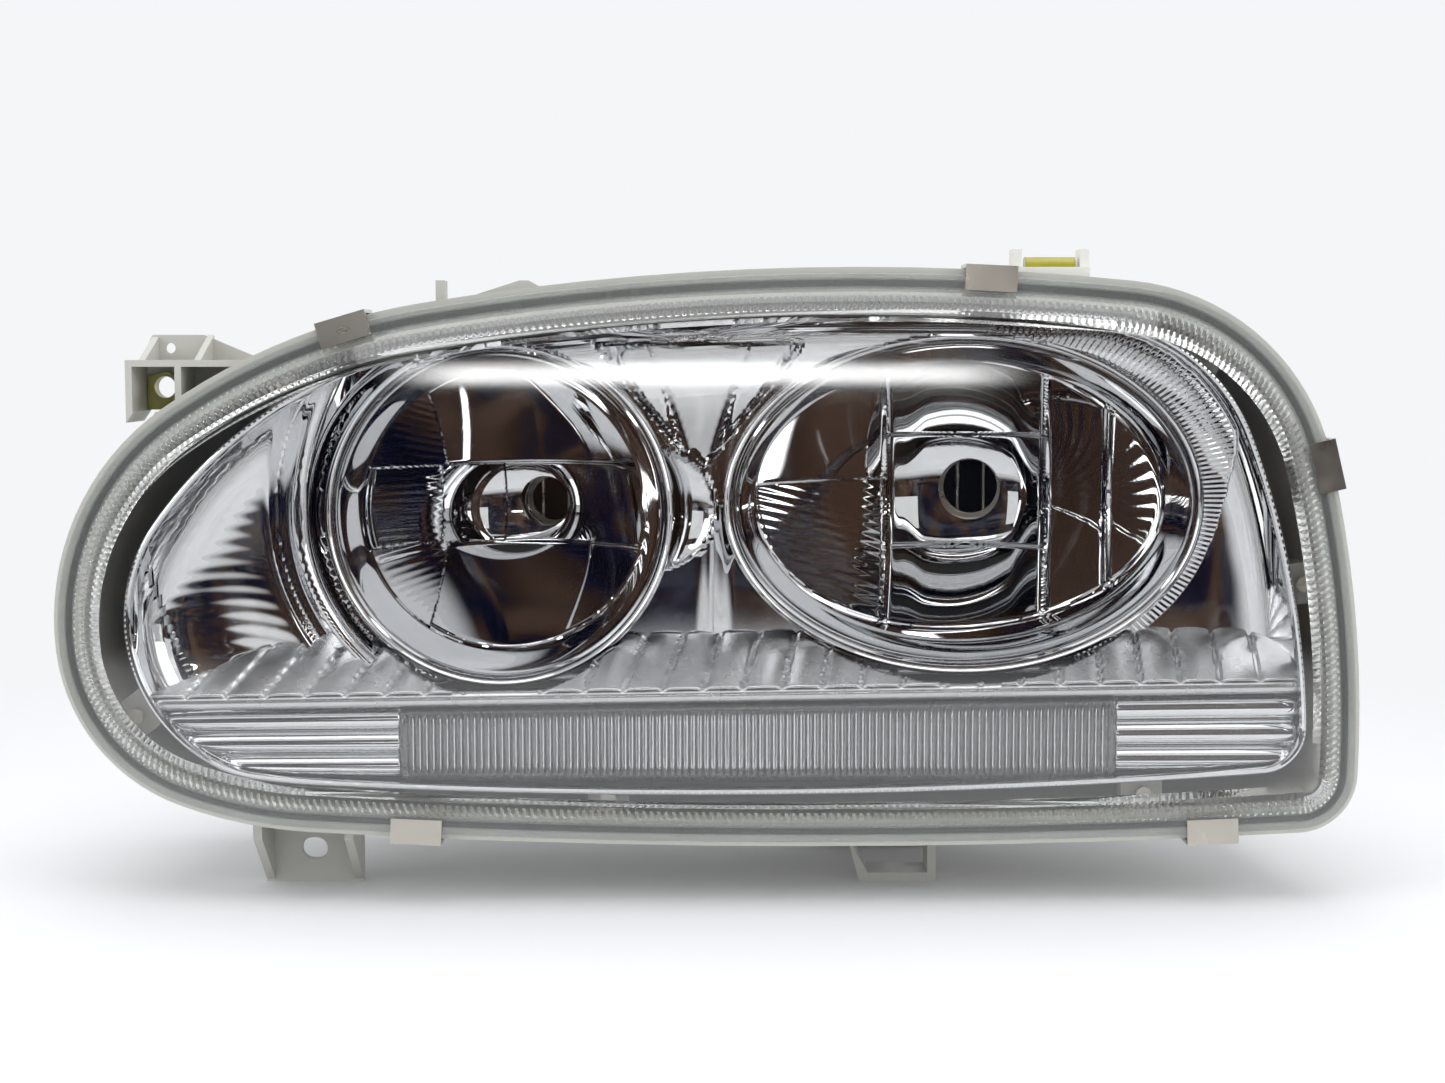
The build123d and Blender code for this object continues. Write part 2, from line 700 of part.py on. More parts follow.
def dish(depth, focal, radius):
    """Solid paraboloid with its tip at -depth on local Z."""
    height = radius ** 2 / (4 * focal)
    curve = Bezier((0, 0, -depth), (radius / 2, 0, -depth), (radius, 0, height - depth))
    sides = Polyline((radius, 0, height - depth), (0, 0, height - depth), (0, 0, -depth))
    return revolve(make_face([curve, *sides.edges()]), Axis.Z, 360)


def make_reflector(axis_x, centre_x, centre_z, ring_x, ring_z, focal, hole_r, neck_r):
    open_x, open_z = bowl_sizes(ring_x, ring_z)
    depth = apex_depth(axis_x, ring_x, centre_x, focal)
    radius = open_x + 14
    place = beam_plane(axis_x, centre_z).location
    back = bowl_front + depth
    inner = place * dish(depth, focal, radius)
    inner &= oval(centre_x, centre_z, open_x, open_z, bowl_front - 5, back)
    outer = place * dish(depth + bowl_wall, focal, radius)
    outer &= oval(centre_x, centre_z, open_x + bowl_wall, open_z + bowl_wall, bowl_front, back)
    outer += oval(centre_x, centre_z, open_x + bowl_lip, open_z + bowl_lip, bowl_front,
                  frame_front)
    neck = Pos(0, 0, -depth - neck_length) * Cylinder(
        neck_r, neck_length, align=(Align.CENTER, Align.CENTER, Align.MIN))
    hole = Pos(0, 0, -depth - neck_length - 1) * Cylinder(
        hole_r, 2 * neck_length, align=(Align.CENTER, Align.CENTER, Align.MIN))
    return outer + place * neck - inner - place * hole


def make_bulb_seat(axis_x, centre_z, depth, neck_r, bulb_r):
    """Steel ring on the neck's rear face, with two hinge ears and a rest for the spring."""
    rear = -depth - neck_length
    wire_z = rear - seat_thickness - clip_wire_r - 1.2
    disc = Pos(0, 0, rear - seat_thickness / 2) * Cylinder(neck_r, seat_thickness)
    for side in (-1, 1):
        x = side * (clip_width / 2 + ear_thickness)
        disc += Pos(x, clip_half, rear - (seat_thickness + ear_height) / 2) * Box(
            ear_thickness, 5, seat_thickness + ear_height)
    pin = Pos(0, clip_half, wire_z) * Rot(0, 90, 0) * Cylinder(
        clip_wire_r + running_gap, 2 * clip_width)
    disc -= pin
    rest_height = seat_thickness + 1.1
    disc += Pos(0, -clip_half, rear - rest_height / 2) * Box(5, 3, rest_height)
    disc -= Pos(0, 0, rear) * Cylinder(bulb_r, 4 * ear_height)
    return beam_plane(axis_x, centre_z).location * disc


def make_bulb_clip(axis_x, centre_z, depth):
    """Wire spring that turns on the seat's ears and presses a bulb's collar home."""
    wire_z = -depth - neck_length - seat_thickness - clip_wire_r - 1.2
    half = clip_width / 2
    end = half + 2 * ear_thickness
    points = [(-end, clip_half), (-half + 1, clip_half), (-half + 1, -clip_half),
              (half - 1, -clip_half), (half - 1, clip_half), (end, clip_half)]
    points = [Vector(x, y, wire_z) for x, y in points]
    wire = Part()
    for start, stop in zip(points, points[1:]):
        run = stop - start
        wire += Plane(start, z_dir=run).location * Cylinder(
            clip_wire_r, run.length, align=(Align.CENTER, Align.CENTER, Align.MIN))
    for point in points[1:-1]:
        wire += Pos(*point) * Sphere(clip_wire_r)
    return beam_plane(axis_x, centre_z).location * wire


def aim_lug(x, z):
    """Block behind the frame that holds an adjuster's nut."""
    return span(x - lug_half, x + lug_half, frame_front, aim_y + nut_length / 2 + 1,
                z - lug_half, z + lug_half)


def make_frame():
    """Plate behind the bowls' lips that joins them, with the pivot lug and two nut lugs."""
    high_edge = high_x + bowl_sizes(high_ring_r, high_ring_r)[0] + bowl_lip + 1
    low_edge = low_x - bowl_sizes(low_ring_x, low_ring_z)[0] - bowl_lip - 1
    plate = span(high_edge - web_overlap_high, low_edge + web_overlap_low, frame_front,
                 frame_back, pivot_z - 10, vertical_adjuster_z + 8)
    plate += span(pivot_x, horizontal_adjuster_x + lug_half, frame_front, frame_back,
                  pivot_z - lug_half, pivot_z + lug_half)
    holes = []
    for x, z, rx, rz in ring_sizes():
        open_x, open_z = bowl_sizes(rx, rz)
        plate += oval(x, z, open_x + bowl_lip + 1, open_z + bowl_lip + 1, frame_front, frame_back)
        holes.append(oval(x, z, open_x + bowl_wall + 0.2, open_z + bowl_wall + 0.2,
                          frame_front - 1, frame_back + 30))
    for x, z in adjuster_places():
        plate += aim_lug(x, z)
    barrel = Pos(pivot_x, aim_y, pivot_z) * Rot(0, 90, 0)
    plate += barrel * Cylinder(socket_r + 3, socket_length)
    plate += span(pivot_x - socket_length / 2, pivot_x + socket_length / 2, frame_front, aim_y,
                  pivot_z - socket_r - 3, pivot_z + socket_r + 3)
    plate -= barrel * Cylinder(socket_r + running_gap, socket_length + 2)
    plate -= span(pivot_x - socket_length, pivot_x + socket_length, aim_y, aim_y + 30,
                  pivot_z - stud_r - 2, pivot_z + stud_r + 2)
    for hole in holes:
        plate -= hole
    for x, z in adjuster_places():
        plate -= rod(x, z, nut_r, aim_y - nut_length / 2, aim_y + 20)
        plate -= rod(x, z, adjuster_r + 1.5, bowl_front - 1, aim_y)
    return plate


def make_pivot_socket():
    """Plastic cup round the stud's ball. It turns in the frame's lug about X."""
    body = Rot(0, 90, 0) * Cylinder(socket_r, socket_length - 1)
    body -= Sphere(ball_r + running_gap)
    mouth = Plane((0, 0, 0), z_dir=(0, 1, 0)).location * Cone(
        stud_neck_r + 0.6, stud_neck_r + 2.4, socket_r + 1,
        align=(Align.CENTER, Align.CENTER, Align.MIN))
    return Pos(pivot_x, aim_y, pivot_z) * (body - mouth)


def make_pivot_stud():
    """Ball stud that passes through the housing's boss to a hexagon head outside."""
    stud = Pos(pivot_x, aim_y, pivot_z) * Sphere(ball_r)
    stud += rod(pivot_x, pivot_z, stud_neck_r, aim_y, aim_y + socket_r + 6)
    stud += rod(pivot_x, pivot_z, stud_r, aim_y + socket_r + 6, rear_y + 1)
    head = Plane((pivot_x, rear_y, pivot_z), x_dir=(1, 0, 0), z_dir=(0, 1, 0)) * RegularPolygon(
        6.5, 6, major_radius=False)
    return stud + extrude(head, amount=5, dir=(0, 1, 0))


def make_adjuster(x, z):
    """Aiming screw with a fluted knob outside and a collar inside the rear wall."""
    knob_y = rear_y + bush_flange + 0.3
    screw = rod(x, z, adjuster_r, aim_y - screw_tip, knob_y + 1)
    screw += rod(x, z, adjuster_r + 2, rear_inner_y - 3, rear_inner_y - 0.3)
    knob = rod(x, z, knob_r, knob_y, knob_y + knob_length)
    for i in range(8):
        angle = math.radians(45 * i)
        knob -= rod(x + (knob_r + 1) * math.cos(angle), z + (knob_r + 1) * math.sin(angle), 2.2,
                    knob_y + 2, knob_y + knob_length + 1)
    socket = Plane((x, knob_y + knob_length, z), x_dir=(1, 0, 0), z_dir=(0, 1, 0))
    knob -= extrude(socket * RegularPolygon(3, 6, major_radius=False), amount=6, dir=(0, -1, 0))
    return screw + knob


def make_bush(x, z):
    """Grommet that seals an aiming screw in the rear wall."""
    bush = rod(x, z, bush_r, rear_inner_y, rear_y) + rod(x, z, bush_flange_r, rear_y,
                                                         rear_y + bush_flange)
    return bush - rod(x, z, adjuster_r + running_gap, rear_inner_y - 1, rear_y + 5)


def make_nut(x, z):
    half = nut_length / 2
    return tube(x, z, nut_r, adjuster_r + nut_clearance, aim_y - half, aim_y + half)


# ---------------------------------------------------------------- rear covers and connector

def make_cap(x, z, radius, length):
    """Round dust cap that pushes over a turret, with a grip bar across it."""
    outer = radius + turret_wall
    skirt = outer + cap_seal_thickness + running_gap
    end = rear_y + length
    cap = rod(x, z, skirt + 2, end - cap_skirt, end + cap_gap + cap_plate)
    cap -= rod(x, z, skirt, end - cap_skirt - 1, end + cap_gap)
    back = end + cap_gap + cap_plate
    cap += span(x - radius * 0.7, x + radius * 0.7, back - 1, back + cap_grip_depth, z - 3, z + 3)
    return cap


def make_cap_seal(x, z, radius, length):
    outer = radius + turret_wall
    end = rear_y + length
    return tube(x, z, outer + cap_seal_thickness, outer, end - 2 - cap_seal_width, end - 2)


def make_connector():
    w, h = connector_width / 2, connector_height / 2
    x, z = connector_x, connector_z
    flange = connector_flange
    shell = span(x - w - flange, x + w + flange, rear_y, rear_y + 2.5, z - h - flange,
                 z + h + flange)
    shell += span(x - w, x + w, rear_y, rear_y + connector_length, z - h, z + h)
    shell -= span(x - w + connector_wall, x + w - connector_wall, rear_y + connector_floor,
                  rear_y + connector_length + 1, z - h + connector_wall, z + h - connector_wall)
    for pin_x, pin_z in pin_places():
        shell -= pin_block(pin_x, pin_z)
    for x, z in connector_screws():
        shell -= rod(x, z, screw_r, rear_y - 1, rear_y + 4)
    return shell


def pin_places():
    step = (connector_width - 2 * connector_wall) / (pin_columns + 1)
    rise = (connector_height - 2 * connector_wall) / (pin_rows + 1)
    left = connector_x - step * (pin_columns - 1) / 2
    low = connector_z - rise * (pin_rows - 1) / 2
    return [(left + step * i, low + rise * j) for i in range(pin_columns)
            for j in range(pin_rows)]


def pin_block(x, z):
    half = pin_size / 2
    return span(x - half, x + half, rear_y - 1, rear_y - 1 + pin_length, z - half, z + half)


def connector_screws():
    reach_x = connector_width / 2 + connector_flange / 2
    return [(connector_x - reach_x, connector_z), (connector_x + reach_x, connector_z)]


def make_connector_screws():
    solids = []
    for x, z in connector_screws():
        head = rod(x, z, 1.9, rear_y + 2.5, rear_y + 4.5)
        solids.append(head + rod(x, z, screw_r, rear_y, rear_y + 2.5))
    return solids


def make_vent_caps():
    solids = []
    for x, z in vent_places:
        cup = rod(x, z, vent_r + vent_wall, rear_y + 2, rear_y + vent_length + vent_wall)
        solids.append(cup - rod(x, z, vent_r, rear_y + 1, rear_y + vent_length))
    return solids


# ---------------------------------------------------------------- level gauge on top

def make_level_holder():
    """White cradle: a floor, two end posts and a low back rail round the vial."""
    half = level_length / 2
    y0, y1 = level_front, level_front + level_depth
    base, top = level_base_z, level_base_z + level_height
    holder = span(level_x - half, level_x + half, y0, y1, base, top - 6)
    for x0, x1 in ((level_x - half, level_x - half + 3), (level_x + half - 3, level_x + half)):
        holder += span(x0, x1, y0 + 2, y1, base, top)
    return holder - vial_shape(0.0)


def vial_shape(extra):
    middle = (level_x, level_front + level_depth / 2, level_base_z + level_height - vial_r - 2.5)
    return Pos(*middle) * Rot(0, 90, 0) * Cylinder(vial_r + extra, vial_length)


# ---------------------------------------------------------------- export

high_depth = apex_depth(high_axis_x, high_ring_r, high_x, high_focal)
low_depth = apex_depth(low_axis_x, low_ring_x, low_x, low_focal)
high_turret, low_turret = turret_places()
upper_adjuster, side_adjuster = adjuster_places()

pieces = {
    "housing": make_housing(),
    "lens": make_lens(),
    "lens_seal": make_seal(),
    "edge_clips": make_edge_clips(),
    "bracket_plate": make_bracket_plate(),
    "bezel": make_bezel(),
    "bezel_screws": make_trim_screws(),
    "ring_high": make_ring(high_x, high_z, high_ring_r, high_ring_r),
    "ring_low": make_ring(low_x, low_z, low_ring_x, low_ring_z),
    "light_bar_lens": make_strip(),
    "light_bar_reflector": make_bar_reflector(),
    "louvre_left": make_louvre(-lens_width, light_bar_left - louvre_gap),
    "louvre_right": make_louvre(light_bar_right + louvre_gap, lens_width),
    "reflector_high": make_reflector(high_axis_x, high_x, high_z, high_ring_r, high_ring_r,
                                     high_focal, high_hole_r, high_neck_r),
    "reflector_low": make_reflector(low_axis_x, low_x, low_z, low_ring_x, low_ring_z,
                                    low_focal, low_hole_r, low_neck_r),
    "reflector_frame": make_frame(),
    "bulb_seat_high": make_bulb_seat(high_axis_x, high_z, high_depth, high_neck_r, high_bulb_r),
    "bulb_seat_low": make_bulb_seat(low_axis_x, low_z, low_depth, low_neck_r, low_bulb_r),
    "bulb_spring_high": make_bulb_clip(high_axis_x, high_z, high_depth),
    "bulb_spring_low": make_bulb_clip(low_axis_x, low_z, low_depth),
    "pivot_stud": make_pivot_stud(),
    "pivot_socket": make_pivot_socket(),
    "adjuster_vertical": make_adjuster(*upper_adjuster),
    "adjuster_horizontal": make_adjuster(*side_adjuster),
    "adjuster_bush_vertical": make_bush(*upper_adjuster),
    "adjuster_bush_horizontal": make_bush(*side_adjuster),
    "adjuster_nut_vertical": make_nut(*upper_adjuster),
    "adjuster_nut_horizontal": make_nut(*side_adjuster),
    "cap_high": make_cap(*high_turret),
    "cap_low": make_cap(*low_turret),
    "cap_seal_high": make_cap_seal(*high_turret),
    "cap_seal_low": make_cap_seal(*low_turret),
    "connector": make_connector(),
    "connector_pins": [pin_block(*place) for place in pin_places()],
    "connector_screws": make_connector_screws(),
    "vent_caps": make_vent_caps(),
    "level_holder": make_level_holder(),
    "level_vial": vial_shape(0.0),
}

nodes = {}
for name, piece in pieces.items():
    solids = piece if isinstance(piece, list) else [piece]
    nodes[name] = [s for group in solids for s in group.solids()]
box = Compound([s for solids in nodes.values() for s in solids]).bounding_box()
lift = Pos(-(box.min.X + box.max.X) / 2, -(box.min.Y + box.max.Y) / 2, -box.min.Z)
os.makedirs("parts", exist_ok=True)
for name, solids in nodes.items():
    export_step(Compound([lift * s for s in solids]), f"parts/{name}.step")
print("lamp frame to part frame:", lift.position)
print("overall size:", box.size)
print("ring centres:", ring_sizes())
print("depths of the bowls:", high_depth, low_depth)
print("turrets:", turret_places())
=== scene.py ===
import math

import bmesh
import bpy
import numpy as np
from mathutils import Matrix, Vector


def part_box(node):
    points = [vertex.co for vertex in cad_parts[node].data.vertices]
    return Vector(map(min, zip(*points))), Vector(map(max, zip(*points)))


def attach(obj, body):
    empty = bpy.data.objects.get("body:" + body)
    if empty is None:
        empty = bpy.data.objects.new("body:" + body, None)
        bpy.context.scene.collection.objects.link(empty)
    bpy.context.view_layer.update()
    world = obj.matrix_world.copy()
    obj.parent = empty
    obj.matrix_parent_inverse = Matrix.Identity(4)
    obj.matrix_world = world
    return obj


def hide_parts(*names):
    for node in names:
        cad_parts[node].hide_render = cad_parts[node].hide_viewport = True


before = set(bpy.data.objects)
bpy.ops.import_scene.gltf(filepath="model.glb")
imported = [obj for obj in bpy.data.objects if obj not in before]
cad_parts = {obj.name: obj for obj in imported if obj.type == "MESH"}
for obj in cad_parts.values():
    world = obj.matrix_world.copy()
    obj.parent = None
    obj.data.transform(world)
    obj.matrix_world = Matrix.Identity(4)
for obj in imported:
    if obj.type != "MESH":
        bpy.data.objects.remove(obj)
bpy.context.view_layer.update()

# The headlight is drawn in lamp millimetres: X to the right, Y rearward from the face of the
# cover's lip, Z up from the middle of the cover. LAMP is that point in the shared frame.
cover_low, cover_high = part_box("lens")
COVER_WALL = 3.0
TONGUE = 5.0
LAMP = Vector((0.0, cover_high.y - (COVER_WALL + TONGUE) / 1000, (cover_low.z + cover_high.z) / 2))
HALF_WIDTH = (cover_high.x - cover_low.x) * 500
HALF_HEIGHT = (cover_high.z - cover_low.z) * 500
CROWN = (LAMP.y - cover_low.y) * 1000


def in_frame(x, y, z):
    """Point of the shared frame for lamp millimetres."""
    return LAMP + Vector((x, y, z)) / 1000


def in_lamp(point):
    """Lamp millimetres for a point of the shared frame."""
    return (Vector(point) - LAMP) * 1000


def node_limits(name):
    """Lowest and highest corner of a CAD node in lamp millimetres."""
    low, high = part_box(name)
    return in_lamp(low), in_lamp(high)


# ---------------------------------------------------------------- outlines

LOOP_POINTS = 720             # points along a loop for its distances and heights


def arc_travel(start, end):
    """X and Z travel along a unit-radius arc between two headings in degrees."""
    a, b = math.radians(start), math.radians(end)
    return np.array([math.sin(b) - math.sin(a), math.cos(a) - math.cos(b)])


class Outline:
    """Closed loop of tangent arcs, anticlockwise seen from the front, fitted to four limits.

    Each arc is (radius, sweep). The arcs given without a radius get the radii that close the
    loop and make it touch the limits.
    """

    def __init__(self, left, right, bottom, top, heading, arcs):
        sweeps = [sweep for _, sweep in arcs]
        sweeps[-1] = 360.0 - sum(sweeps[:-1])
        self.headings = [heading + sum(sweeps[:i]) for i in range(len(sweeps) + 1)]
        self.radii = [radius for radius, _ in arcs]
        free = [i for i, radius in enumerate(self.radii) if radius is None]

        def equation(until, axis, target):
            row = [float(axis == 0), float(axis == 1)]
            row += [self.travel(i, until)[axis] for i in free]
            fixed = sum(r * self.travel(i, until)[axis] for i, r in enumerate(self.radii) if r)
            return row, target - fixed

        rows = [equation(0, 1, bottom), equation(90, 0, right)]
        rows += [equation(180, 1, top), equation(270, 0, left)]
        for axis in (0, 1):
            row, rest = equation(heading + 360, axis, 0.0)
            row[axis] = 0.0
            rows.append((row, rest))
        answer = np.linalg.solve([row for row, _ in rows], [rest for _, rest in rows])
        self.start = answer[:2]
        for i, radius in zip(free, answer[2:]):
            self.radii[i] = float(radius)
        turns = np.radians(np.diff(self.headings))
        self.stations = np.concatenate([[0.0], np.cumsum(np.array(self.radii) * turns)])
        self.length = float(self.stations[-1])
        self.points = np.array([self.at(i / LOOP_POINTS)[0] for i in range(LOOP_POINTS)])

    def travel(self, i, until=math.inf):
        """X and Z travel of one arc for a unit radius, up to a heading."""
        start, end = self.headings[i], self.headings[i + 1]
        return arc_travel(min(start, until), min(end, until))

    def at(self, share):
        """Point and inward normal at a share of the loop's length."""
        distance = (share % 1.0) * self.length
        i = min(int(np.searchsorted(self.stations, distance, side="right")) - 1,
                len(self.radii) - 1)
        turn = math.degrees((distance - self.stations[i]) / self.radii[i])
        heading = self.headings[i] + turn
        point = np.array(self.start)
        for k in range(i):
            point = point + self.radii[k] * self.travel(k)
        point = point + self.radii[i] * arc_travel(self.headings[i], heading)
        angle = math.radians(heading)
        return point, np.array([-math.sin(angle), math.cos(angle)])

    def inside(self, share, inset):
        """Point at a share of the loop's length, moved inward."""
        point, normal = self.at(share)
        return point + inset * normal

    def reach(self, x, upper):
        """Height of the loop's upper or lower run at x."""
        is_upper = self.points[:, 1] > self.middle(x)
        run = self.points[is_upper if upper else ~is_upper]
        run = run[np.argsort(run[:, 0])]
        return float(np.interp(x, run[:, 0], run[:, 1]))

    def middle(self, x):
        """Height that parts the upper run from the lower run."""
        left_end = self.points[self.points[:, 0].argmin()]
        right_end = self.points[self.points[:, 0].argmax()]
        share = (x - left_end[0]) / (right_end[0] - left_end[0])
        return left_end[1] + (right_end[1] - left_end[1]) * share

    def sides(self):
        """Leftmost and rightmost x of the loop."""
        return self.points[:, 0].min(), self.points[:, 0].max()

    def gap(self, x, z):
        """Distance from a point to the loop."""
        starts = self.points
        chords = np.roll(starts, -1, axis=0) - starts
        away = np.array([x, z]) - starts
        share = np.clip((away * chords).sum(axis=1) / (chords ** 2).sum(axis=1), 0, 1)
        rest = away - share[:, None] * chords
        return float(np.sqrt((rest ** 2).sum(axis=1)).min())


cover_loop = Outline(
    -HALF_WIDTH, HALF_WIDTH, -HALF_HEIGHT, HALF_HEIGHT, -3.3,
    [(None, 6.5), (18.2, 85.0), (None, 16.0), (74.0, 70.0), (None, 15.2), (207.0, 25.3),
     (None, 61.3), (60.0, 63.5), (145.0, 17.2)],
)
TRIM_LEFT, TRIM_RIGHT, TRIM_BOTTOM, TRIM_TOP = 20.4, 14.9, 14.9, 12.6
trim_loop = Outline(
    -HALF_WIDTH + TRIM_LEFT, HALF_WIDTH - TRIM_RIGHT, -HALF_HEIGHT + TRIM_BOTTOM,
    HALF_HEIGHT - TRIM_TOP, -3.0,
    [(None, 7.4), (15.5, 87.5), (None, 19.5), (63.0, 66.0), (None, 9.0), (150.0, 48.2),
     (None, 97.5), (38.0, 19.0), (197.0, 5.9)],
)


# ---------------------------------------------------------------- colours and materials

def linear(hex_colour):
    """Linear RGBA of an sRGB hex colour."""
    parts = [int(hex_colour[i:i + 2], 16) / 255 for i in (1, 3, 5)]
    values = [c / 12.92 if c <= 0.04045 else ((c + 0.055) / 1.055) ** 2.4 for c in parts]
    return (*values, 1.0)


def add_node(owner, kind, links=(), **settings):
    """Adds a shader node. Settings name its properties or inputs; links are (input, output)."""
    node = owner.node_tree.nodes.new(kind)
    for key, value in settings.items():
        name = key.replace("_", " ")
        if hasattr(node, key):
            setattr(node, key, value)
        else:
            match = [s for s in node.inputs if s.name.lower() == name.lower()]
            match[0].default_value = value
    for target, source in links:
        owner.node_tree.links.new(node.inputs[target], source)
    return node


def blank_material(name):
    """Material with an empty node tree."""
    material = bpy.data.materials.new(name)
    material.use_nodes = True
    material.node_tree.nodes.clear()
    return material


def new_material(name, **settings):
    """Principled material; returns it, its shader and its object-space coordinates."""
    material = blank_material(name)
    shader = add_node(material, "ShaderNodeBsdfPrincipled", **settings)
    add_node(material, "ShaderNodeOutputMaterial", [("Surface", shader.outputs["BSDF"])])
    place = add_node(material, "ShaderNodeTexCoord").outputs["Object"]
    return material, shader, place


def noise(material, place, size_mm, detail=2.0, stretch=(1, 1, 1)):
    """Noise with features of a real size, squeezed along the axes by stretch."""
    mapping = add_node(material, "ShaderNodeMapping", [("Vector", place)], Scale=stretch)
    return add_node(material, "ShaderNodeTexNoise", [("Vector", mapping.outputs["Vector"])],
                    Scale=1000 / size_mm, Detail=detail).outputs["Fac"]


def bump(material, shader, height, depth_mm):
    """Bump of a real depth on a shader's normal."""
    node = add_node(material, "ShaderNodeBump", [("Height", height)], Strength=1.0,
                    Distance=depth_mm / 1000)
    material.node_tree.links.new(shader.inputs["Normal"], node.outputs["Normal"])


def spread(material, shader, target, factor, low, high):
    """Drives a shader input between two values by a noise factor."""
    node = add_node(material, "ShaderNodeMapRange", [("Value", factor)], From_Min=0.3,
                    From_Max=0.7, To_Min=low, To_Max=high)
    material.node_tree.links.new(shader.inputs[target], node.outputs["Result"])


def tint(material, shader, factor, first, second):
    """Mixes two hex colours into the base colour by a noise factor."""
    node = add_node(material, "ShaderNodeMix", [(0, factor)], data_type="RGBA")
    node.inputs[6].default_value = linear(first)
    node.inputs[7].default_value = linear(second)
    material.node_tree.links.new(shader.inputs["Base Color"], node.outputs[2])


def make_housing_plastic():
    """Warm grey polypropylene, moulded: fine satin grain and faint flow shading."""
    material, shader, place = new_material("moulded_polypropylene_grey", Roughness=0.42, IOR=1.49)
    tint(material, shader, noise(material, place, 45), "#B7B7B1", "#C3C2BB")
    spread(material, shader, "Roughness", noise(material, place, 6), 0.36, 0.5)
    bump(material, shader, noise(material, place, 0.9), 0.03)
    return material


WAVE_MM = 30


def make_bright_metal(name, waviness, roughness=0.035, colour="#E0E1E3"):
    """Metallised plastic or bare metal: bright, with the long soft waves of a moulded base."""
    material, shader, place = new_material(name, Base_Color=linear(colour), Metallic=1.0,
                                           Roughness=roughness)
    bump(material, shader, noise(material, place, WAVE_MM, 1.0), waviness)
    return material


def make_satin_metal():
    """Metallised plastic over a finely etched mould: soft grey sheen without sharp images."""
    material, shader, place = new_material("metallised_satin_plastic", Metallic=1.0,
                                           Base_Color=linear("#D2D3D5"), Roughness=0.26)
    spread(material, shader, "Roughness", noise(material, place, 12), 0.23, 0.29)
    return material


def make_clear(name, colour):
    """Clear polycarbonate: sharp reflections, under a hard coat that softens them a little."""
    material, shader, place = new_material(name, Base_Color=linear(colour), Roughness=0.0,
                                           IOR=1.5, Transmission_Weight=1.0, Coat_Weight=0.5,
                                           Coat_Roughness=0.07)
    spread(material, shader, "Coat Roughness", noise(material, place, 40), 0.05, 0.09)
    return material


def make_cover_edge():
    """Glued lip and prism flutes of the cover: slightly milky, so that they catch the light."""
    material, shader, place = new_material("milky_polycarbonate_edge", IOR=1.5,
                                           Transmission_Weight=0.85, Roughness=0.16)
    tint(material, shader, noise(material, place, 25), "#D0D3D1", "#DCDFDD")
    return material


def make_spring_steel():
    """Nickel-plated spring strip: warm satin that clouds slightly along its length."""
    material, shader, place = new_material("nickel_plated_spring_strip", Metallic=1.0,
                                           Base_Color=linear("#C6C1B7"), Roughness=0.3)
    spread(material, shader, "Roughness", noise(material, place, 9), 0.26, 0.34)
    return material


def make_zinc():
    """Yellow passivated zinc plate: olive to straw clouding over satin steel."""
    material, shader, place = new_material("yellow_passivated_zinc", Metallic=0.85, Roughness=0.38)
    tint(material, shader, noise(material, place, 7, 3.0), "#8E8F52", "#BDB77A")
    spread(material, shader, "Roughness", noise(material, place, 2), 0.3, 0.48)
    return material


def make_plain(name, first, second, roughness, grain_mm, depth_mm):
    """Moulded plastic or rubber: two near shades clouded together over a fine grain."""
    material, shader, place = new_material(name, Roughness=roughness)
    tint(material, shader, noise(material, place, 18), first, second)
    spread(material, shader, "Roughness", noise(material, place, 4), roughness * 0.85,
           min(1.0, roughness * 1.2))
    bump(material, shader, noise(material, place, grain_mm), depth_mm)
    return material


def make_vial():
    """Tinted acrylic tube with a yellow-green liquid: glossy and faintly see-through."""
    material, shader, place = new_material("yellow_liquid_vial", Roughness=0.08, IOR=1.49,
                                           Transmission_Weight=0.35)
    tint(material, shader, noise(material, place, 5), "#A39C2E", "#C4BE45")
    return material


HOUSING = make_housing_plastic()
CHROME = make_bright_metal("vacuum_metallised_trim", 0.10)
BOWL_CHROME = make_bright_metal("vacuum_metallised_bowl", 0.05, 0.02)
# Chrome of the light bar's tray with its base colour painted dark: painted shade of the recess
# under the ledge and painted dark reflection, not a smoked tint.
PAINTED_DARK_BAR_CHROME = make_bright_metal("metallised_plastic_painted_dark_shade", 0.05, 0.12, "#4A494E")
SATIN = make_satin_metal()
COVER_CLEAR = make_clear("clear_hard_coated_polycarbonate", "#FCFCFB")
COVER_EDGE = make_cover_edge()
STRIP_CLEAR = make_clear("clear_fluted_polycarbonate", "#F0F1F2")
STEEL = make_spring_steel()
ZINC = make_zinc()
BLACK = make_plain("black_moulded_plastic", "#141517", "#1E1F21", 0.5, 0.8, 0.03)
RUBBER = make_plain("black_moulded_rubber", "#0E0E0E", "#181817", 0.75, 0.6, 0.05)
NYLON = make_plain("natural_white_nylon", "#DEDED9", "#EAEAE6", 0.38, 0.9, 0.02)
SEALANT = make_plain("grey_butyl_sealant", "#8B8E8C", "#999C99", 0.6, 1.2, 0.03)
VIAL = make_vial()
BRASS = make_bright_metal("tinned_brass", 0.01, 0.25)


# ---------------------------------------------------------------- mesh helpers

def sheet(columns, rows, shape):
    """Grid bent into shape(u, v) in lamp millimetres, u and v from 0 to 1."""
    bm = bmesh.new()
    bmesh.ops.create_grid(bm, x_segments=columns, y_segments=rows, size=0.5)
    for vert in bm.verts:
        vert.co = in_frame(*shape(vert.co.x + 0.5, vert.co.y + 0.5))
    bmesh.ops.remove_doubles(bm, verts=bm.verts, dist=1e-6)
    return bm


def face_front(bm):
    """Turns an open sheet's faces to the front."""
    bmesh.ops.recalc_face_normals(bm, faces=bm.faces)
    lean = sum(face.normal.y * face.calc_area() for face in bm.faces)
    if lean > 0:
        bmesh.ops.reverse_faces(bm, faces=bm.faces)


